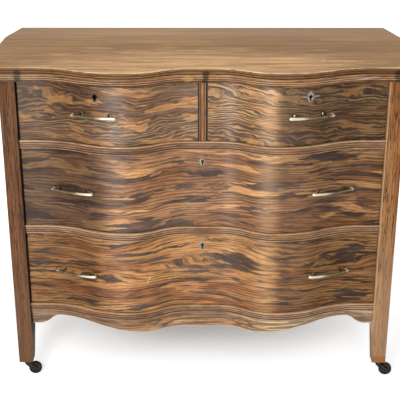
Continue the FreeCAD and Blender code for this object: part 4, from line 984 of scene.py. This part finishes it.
def linerPins(name):
    # Two domed pins beside the keyhole, lathed and laid over to point out of the face.
    keyX, keyZ = keyPlace(name)
    pin = laidOver(lathe(liner["pin"]))
    shells = []
    for x in liner["pinPlaces"]:
        place = onFace(np.array(keyX + x), np.array(keyZ - liner["pinDrop"]), veneer["proud"])
        shells.append(turned(pin, faceTurn(keyX + x), place))
    return shells


for name in ("top_left", "middle", "bottom"):
    bare = name == "top_left"
    pins = [] if bare else linerPins(name)
    ringWear = np.repeat(liner["dullWear" if bare else "wear"], liner["count"])
    pinWear = np.zeros(sum(points.size // 3 for points, quads, caps in pins))
    addPiece(f"{name}_keyhole_liner", [keyRing(name, liner, linerRim), *pins], f"{name}_drawer",
             dullSteel, np.concatenate([ringWear, pinWear]))
addPiece("top_right_winged_plate", [keyRing("top_right", plate, plateRim)], "top_right_drawer",
         palePewter, np.repeat(plate["wear"], plate["count"]), stands=["top_right_escutcheon"])
print("keyholes dressed")

# casters: wheel turned about its axle, and a cast horn of plate, two arms, bosses, axle and stem

caster = {
    "wheelRadius": 0.018, "trail": 0.022,
    "rim": ([2.6, 5.6, 5.6, 6.4, 13.6, 14.6, 17.0, 17.8, 18.0, 17.8, 17.0, 14.6, 13.6, 6.4, 5.6, 5.6, 2.6],
            [-6.0, -6.0, -5.0, -4.0, -4.0, -5.4, -5.6, -4.4, 0.0, 4.4, 5.6, 5.4, 4.0, 4.0, 5.0, 6.0, 6.0],
            48),
    "plate": ([4.0, 10.5, 11.8, 12.0, 11.4, 8.0, 4.0], [37.6, 37.6, 38.6, 41.0, 43.2, 43.6, 43.6], 32),
    "stem": ([4.0, 4.0, 3.0], [40.0, 72.5, 73.5], 20),
    "boss": ([3.4, 5.4, 6.0, 6.0, 4.4, 3.0], [6.5, 6.5, 7.0, 8.6, 9.4, 9.9], 24),
    "axle": ([2.4, 2.4], [-8.0, 8.0], 16),
    "armStart": (0.002, 0.0385), "armBend": (0.004, 0.030), "armHalf": (0.0085, 0.0050), "armThick": 0.0013,
    "armSide": 0.0080, "armSteps": 14, "armCount": 16,
}


def hornArm(hand):
    # One cheek: a rounded bar along a quadratic curve from the plate down to the axle, at one side of the
    # wheel.
    c = caster
    t = np.linspace(0, 1, c["armSteps"])[:, None]
    start, bend = np.array(c["armStart"]), np.array(c["armBend"])
    end = np.array([c["trail"], c["wheelRadius"]])
    line = (1 - t) ** 2 * start + 2 * t * (1 - t) * bend + t**2 * end
    head = 2 * (1 - t) * (bend - start) + 2 * t * (end - bend)
    head = head / np.linalg.norm(head, axis=1, keepdims=True)
    path = np.stack([line[:, 0], np.full(len(line), hand * c["armSide"]), line[:, 1]], axis=-1)
    side = np.stack([-head[:, 1], 0 * head[:, 0], head[:, 0]], axis=-1)
    up = np.broadcast_to(np.array([0.0, 1.0, 0.0]), path.shape)
    half = np.linspace(*c["armHalf"], len(path))
    return tube(path, side, up, half, np.full(len(path), c["armThick"]), c["armCount"])


def onAxle(shell, hand=1):
    # Lathed shell laid on the axle: its height runs along local y, the other way where hand is -1.
    points, quads, caps = shell
    x, z = points[..., 0] + caster["trail"], points[..., 1] + caster["wheelRadius"]
    return np.stack([x, hand * points[..., 2], z], axis=-1), quads, caps


hornShells = [lathe(caster["plate"]), lathe(caster["stem"]), hornArm(-1), hornArm(1)]
hornShells += [onAxle(lathe(caster["boss"]), hand) for hand in (-1, 1)]
hornShells.append(onAxle(lathe(caster["axle"])))
wheelShell = onAxle(lathe(caster["rim"], closeProfile=True))
joints = {joint["name"]: joint for joint in frame["joints"]}
for corner in ("front_left", "front_right", "rear_left", "rear_right"):
    foot = np.array(joints[f"{corner}_swivel"]["pos_m"]) * (1, 1, 0)
    axle = joints[f"{corner}_roll"]["pos_m"]
    angle = math.atan2(axle[1] - foot[1], axle[0] - foot[0])
    horn = [turned(shell, angle, foot) for shell in hornShells]
    addPiece(f"{corner}_cast_horn", horn, f"{corner}_caster", blackIron,
             stands=[f"{corner}_caster_fork"], angle=45)
    wheel = turned(wheelShell, angle, foot)
    addPiece(f"{corner}_turned_wheel", [wheel], f"{corner}_wheel", blackIron,
             stands=[f"{corner}_caster_wheel"], angle=40)
print("casters cast")

# floor, light and camera

# the floor's glow dips to its lowest under the chest, which paints the chest's shadow on the floor
studio = {
    "floorSize": 14.0, "floorTint": (0.86, 0.90, 0.935, 1.0), "floorRough": 0.9,
    "paintedShadowGlow": 0.18, "nearGlow": 0.60, "farGlow": 0.38, "nearReach": (0.03, 0.28), "farReach": (0.8, 1.8),
    "glowFrom": (0.0, 0.12, 0.0), "glowSpread": (0.45, 1.0, 1.0), "skyLight": 0.3,
    "lens": 87.97, "sensor": 36.0, "place": (-0.0006, -2.5457, 1.4724), "pitch": 21.81, "yaw": -0.14,
}
lamps = {
    "window": {"place": (-0.86, -2.6, 1.05), "target": (0, -0.2, 0.8), "size": (0.8, 2.0), "power": 54},
    "key": {"place": (0.1, -3.0, 2.6), "target": (0, 0, 0.5), "size": (2.4, 1.6), "power": 25},
    "top": {"place": (0.0, 0.2, 3.0), "target": (0, 0, 0.8), "size": (2.4, 1.6), "power": 21},
}


def rayIsSeen(tree):
    # One for rays from the camera or off gloss or glass, else nought.
    path = addNode(tree, "ShaderNodeLightPath")
    seen = calc(tree, "MAXIMUM", path.outputs["Is Camera Ray"], path.outputs["Is Glossy Ray"])
    return calc(tree, "MAXIMUM", seen, path.outputs["Is Transmission Ray"])


def buildFloor():
    # One square, with a glow that dips under the chest to paint its shadow there, and grows again with
    # distance from it.
    size = studio["floorSize"]
    corners = np.array([[-size, -size, 0], [size, -size, 0], [size, size, 0], [-size, size, 0]], float)
    mesh = makeMesh("floor", [(corners, np.array([[0, 1, 2, 3]]), [])], closed=False)
    floor = bpy.data.objects.new("floor", mesh)
    bpy.context.scene.collection.objects.link(floor)
    material, tree, shader = newMaterial("pale_floor")
    shader.inputs["Base Color"].default_value = studio["floorTint"]
    shader.inputs["Roughness"].default_value = studio["floorRough"]
    shader.inputs["Specular IOR Level"].default_value = 0.0
    offset = vectorCalc(tree, "SUBTRACT", objectCoords(tree), studio["glowFrom"])
    spread = vectorCalc(tree, "MULTIPLY", offset, studio["glowSpread"])
    nearAway, farAway = [vectorCalc(tree, "LENGTH", vector) for vector in (spread, offset)]
    # painted shadow: the glow falls to its lowest under the chest
    near = step(tree, nearAway, *studio["nearReach"], studio["paintedShadowGlow"], studio["nearGlow"])
    strength = plus(tree, near, step(tree, farAway, *studio["farReach"], 0.0, studio["farGlow"]))
    strength = times(tree, rayIsSeen(tree), strength)
    glow = addNode(tree, "ShaderNodeEmission", {"Color": (1, 1, 1, 1), "Strength": strength})
    both = addNode(tree, "ShaderNodeAddShader", {0: shader.outputs[0], 1: glow.outputs[0]})
    tree.links.new(both.outputs[0], tree.nodes["Material Output"].inputs["Surface"])
    mesh.materials.append(material)


def buildSky():
    # White where it is seen, and a share of that as light.
    world = bpy.data.worlds.new("studio")
    world.use_nodes = True
    tree = world.node_tree
    background = tree.nodes["Background"]
    background.inputs["Color"].default_value = (1, 1, 1, 1)
    strength = step(tree, rayIsSeen(tree), 0.0, 1.0, studio["skyLight"], 1.0)
    tree.links.new(strength, background.inputs["Strength"])
    bpy.context.scene.world = world


def addLamp(name, place, target, size, power):
    # Oblong lamp aimed from its place at its target.
    lamp = bpy.data.lights.new(name, "AREA")
    lamp.shape = "RECTANGLE"
    lamp.size, lamp.size_y = size
    lamp.energy = power
    holder = bpy.data.objects.new(name, lamp)
    bpy.context.scene.collection.objects.link(holder)
    holder.location = place
    aim = Vector(target) - Vector(place)
    holder.rotation_euler = aim.to_track_quat("-Z", "Y").to_euler()


def addCamera():
    # Camera tilted down from level by pitch and turned by yaw.
    camera = bpy.data.cameras.new("camera")
    camera.lens = studio["lens"]
    camera.sensor_width = studio["sensor"]
    holder = bpy.data.objects.new("camera", camera)
    bpy.context.scene.collection.objects.link(holder)
    holder.location = studio["place"]
    holder.rotation_euler = (math.radians(90 - studio["pitch"]), 0, math.radians(-studio["yaw"]))
    bpy.context.scene.camera = holder


buildFloor()
buildSky()
for name, lamp in lamps.items():
    addLamp(name, **lamp)
addCamera()
bpy.context.scene.view_settings.view_transform = "Standard"
print("studio set")
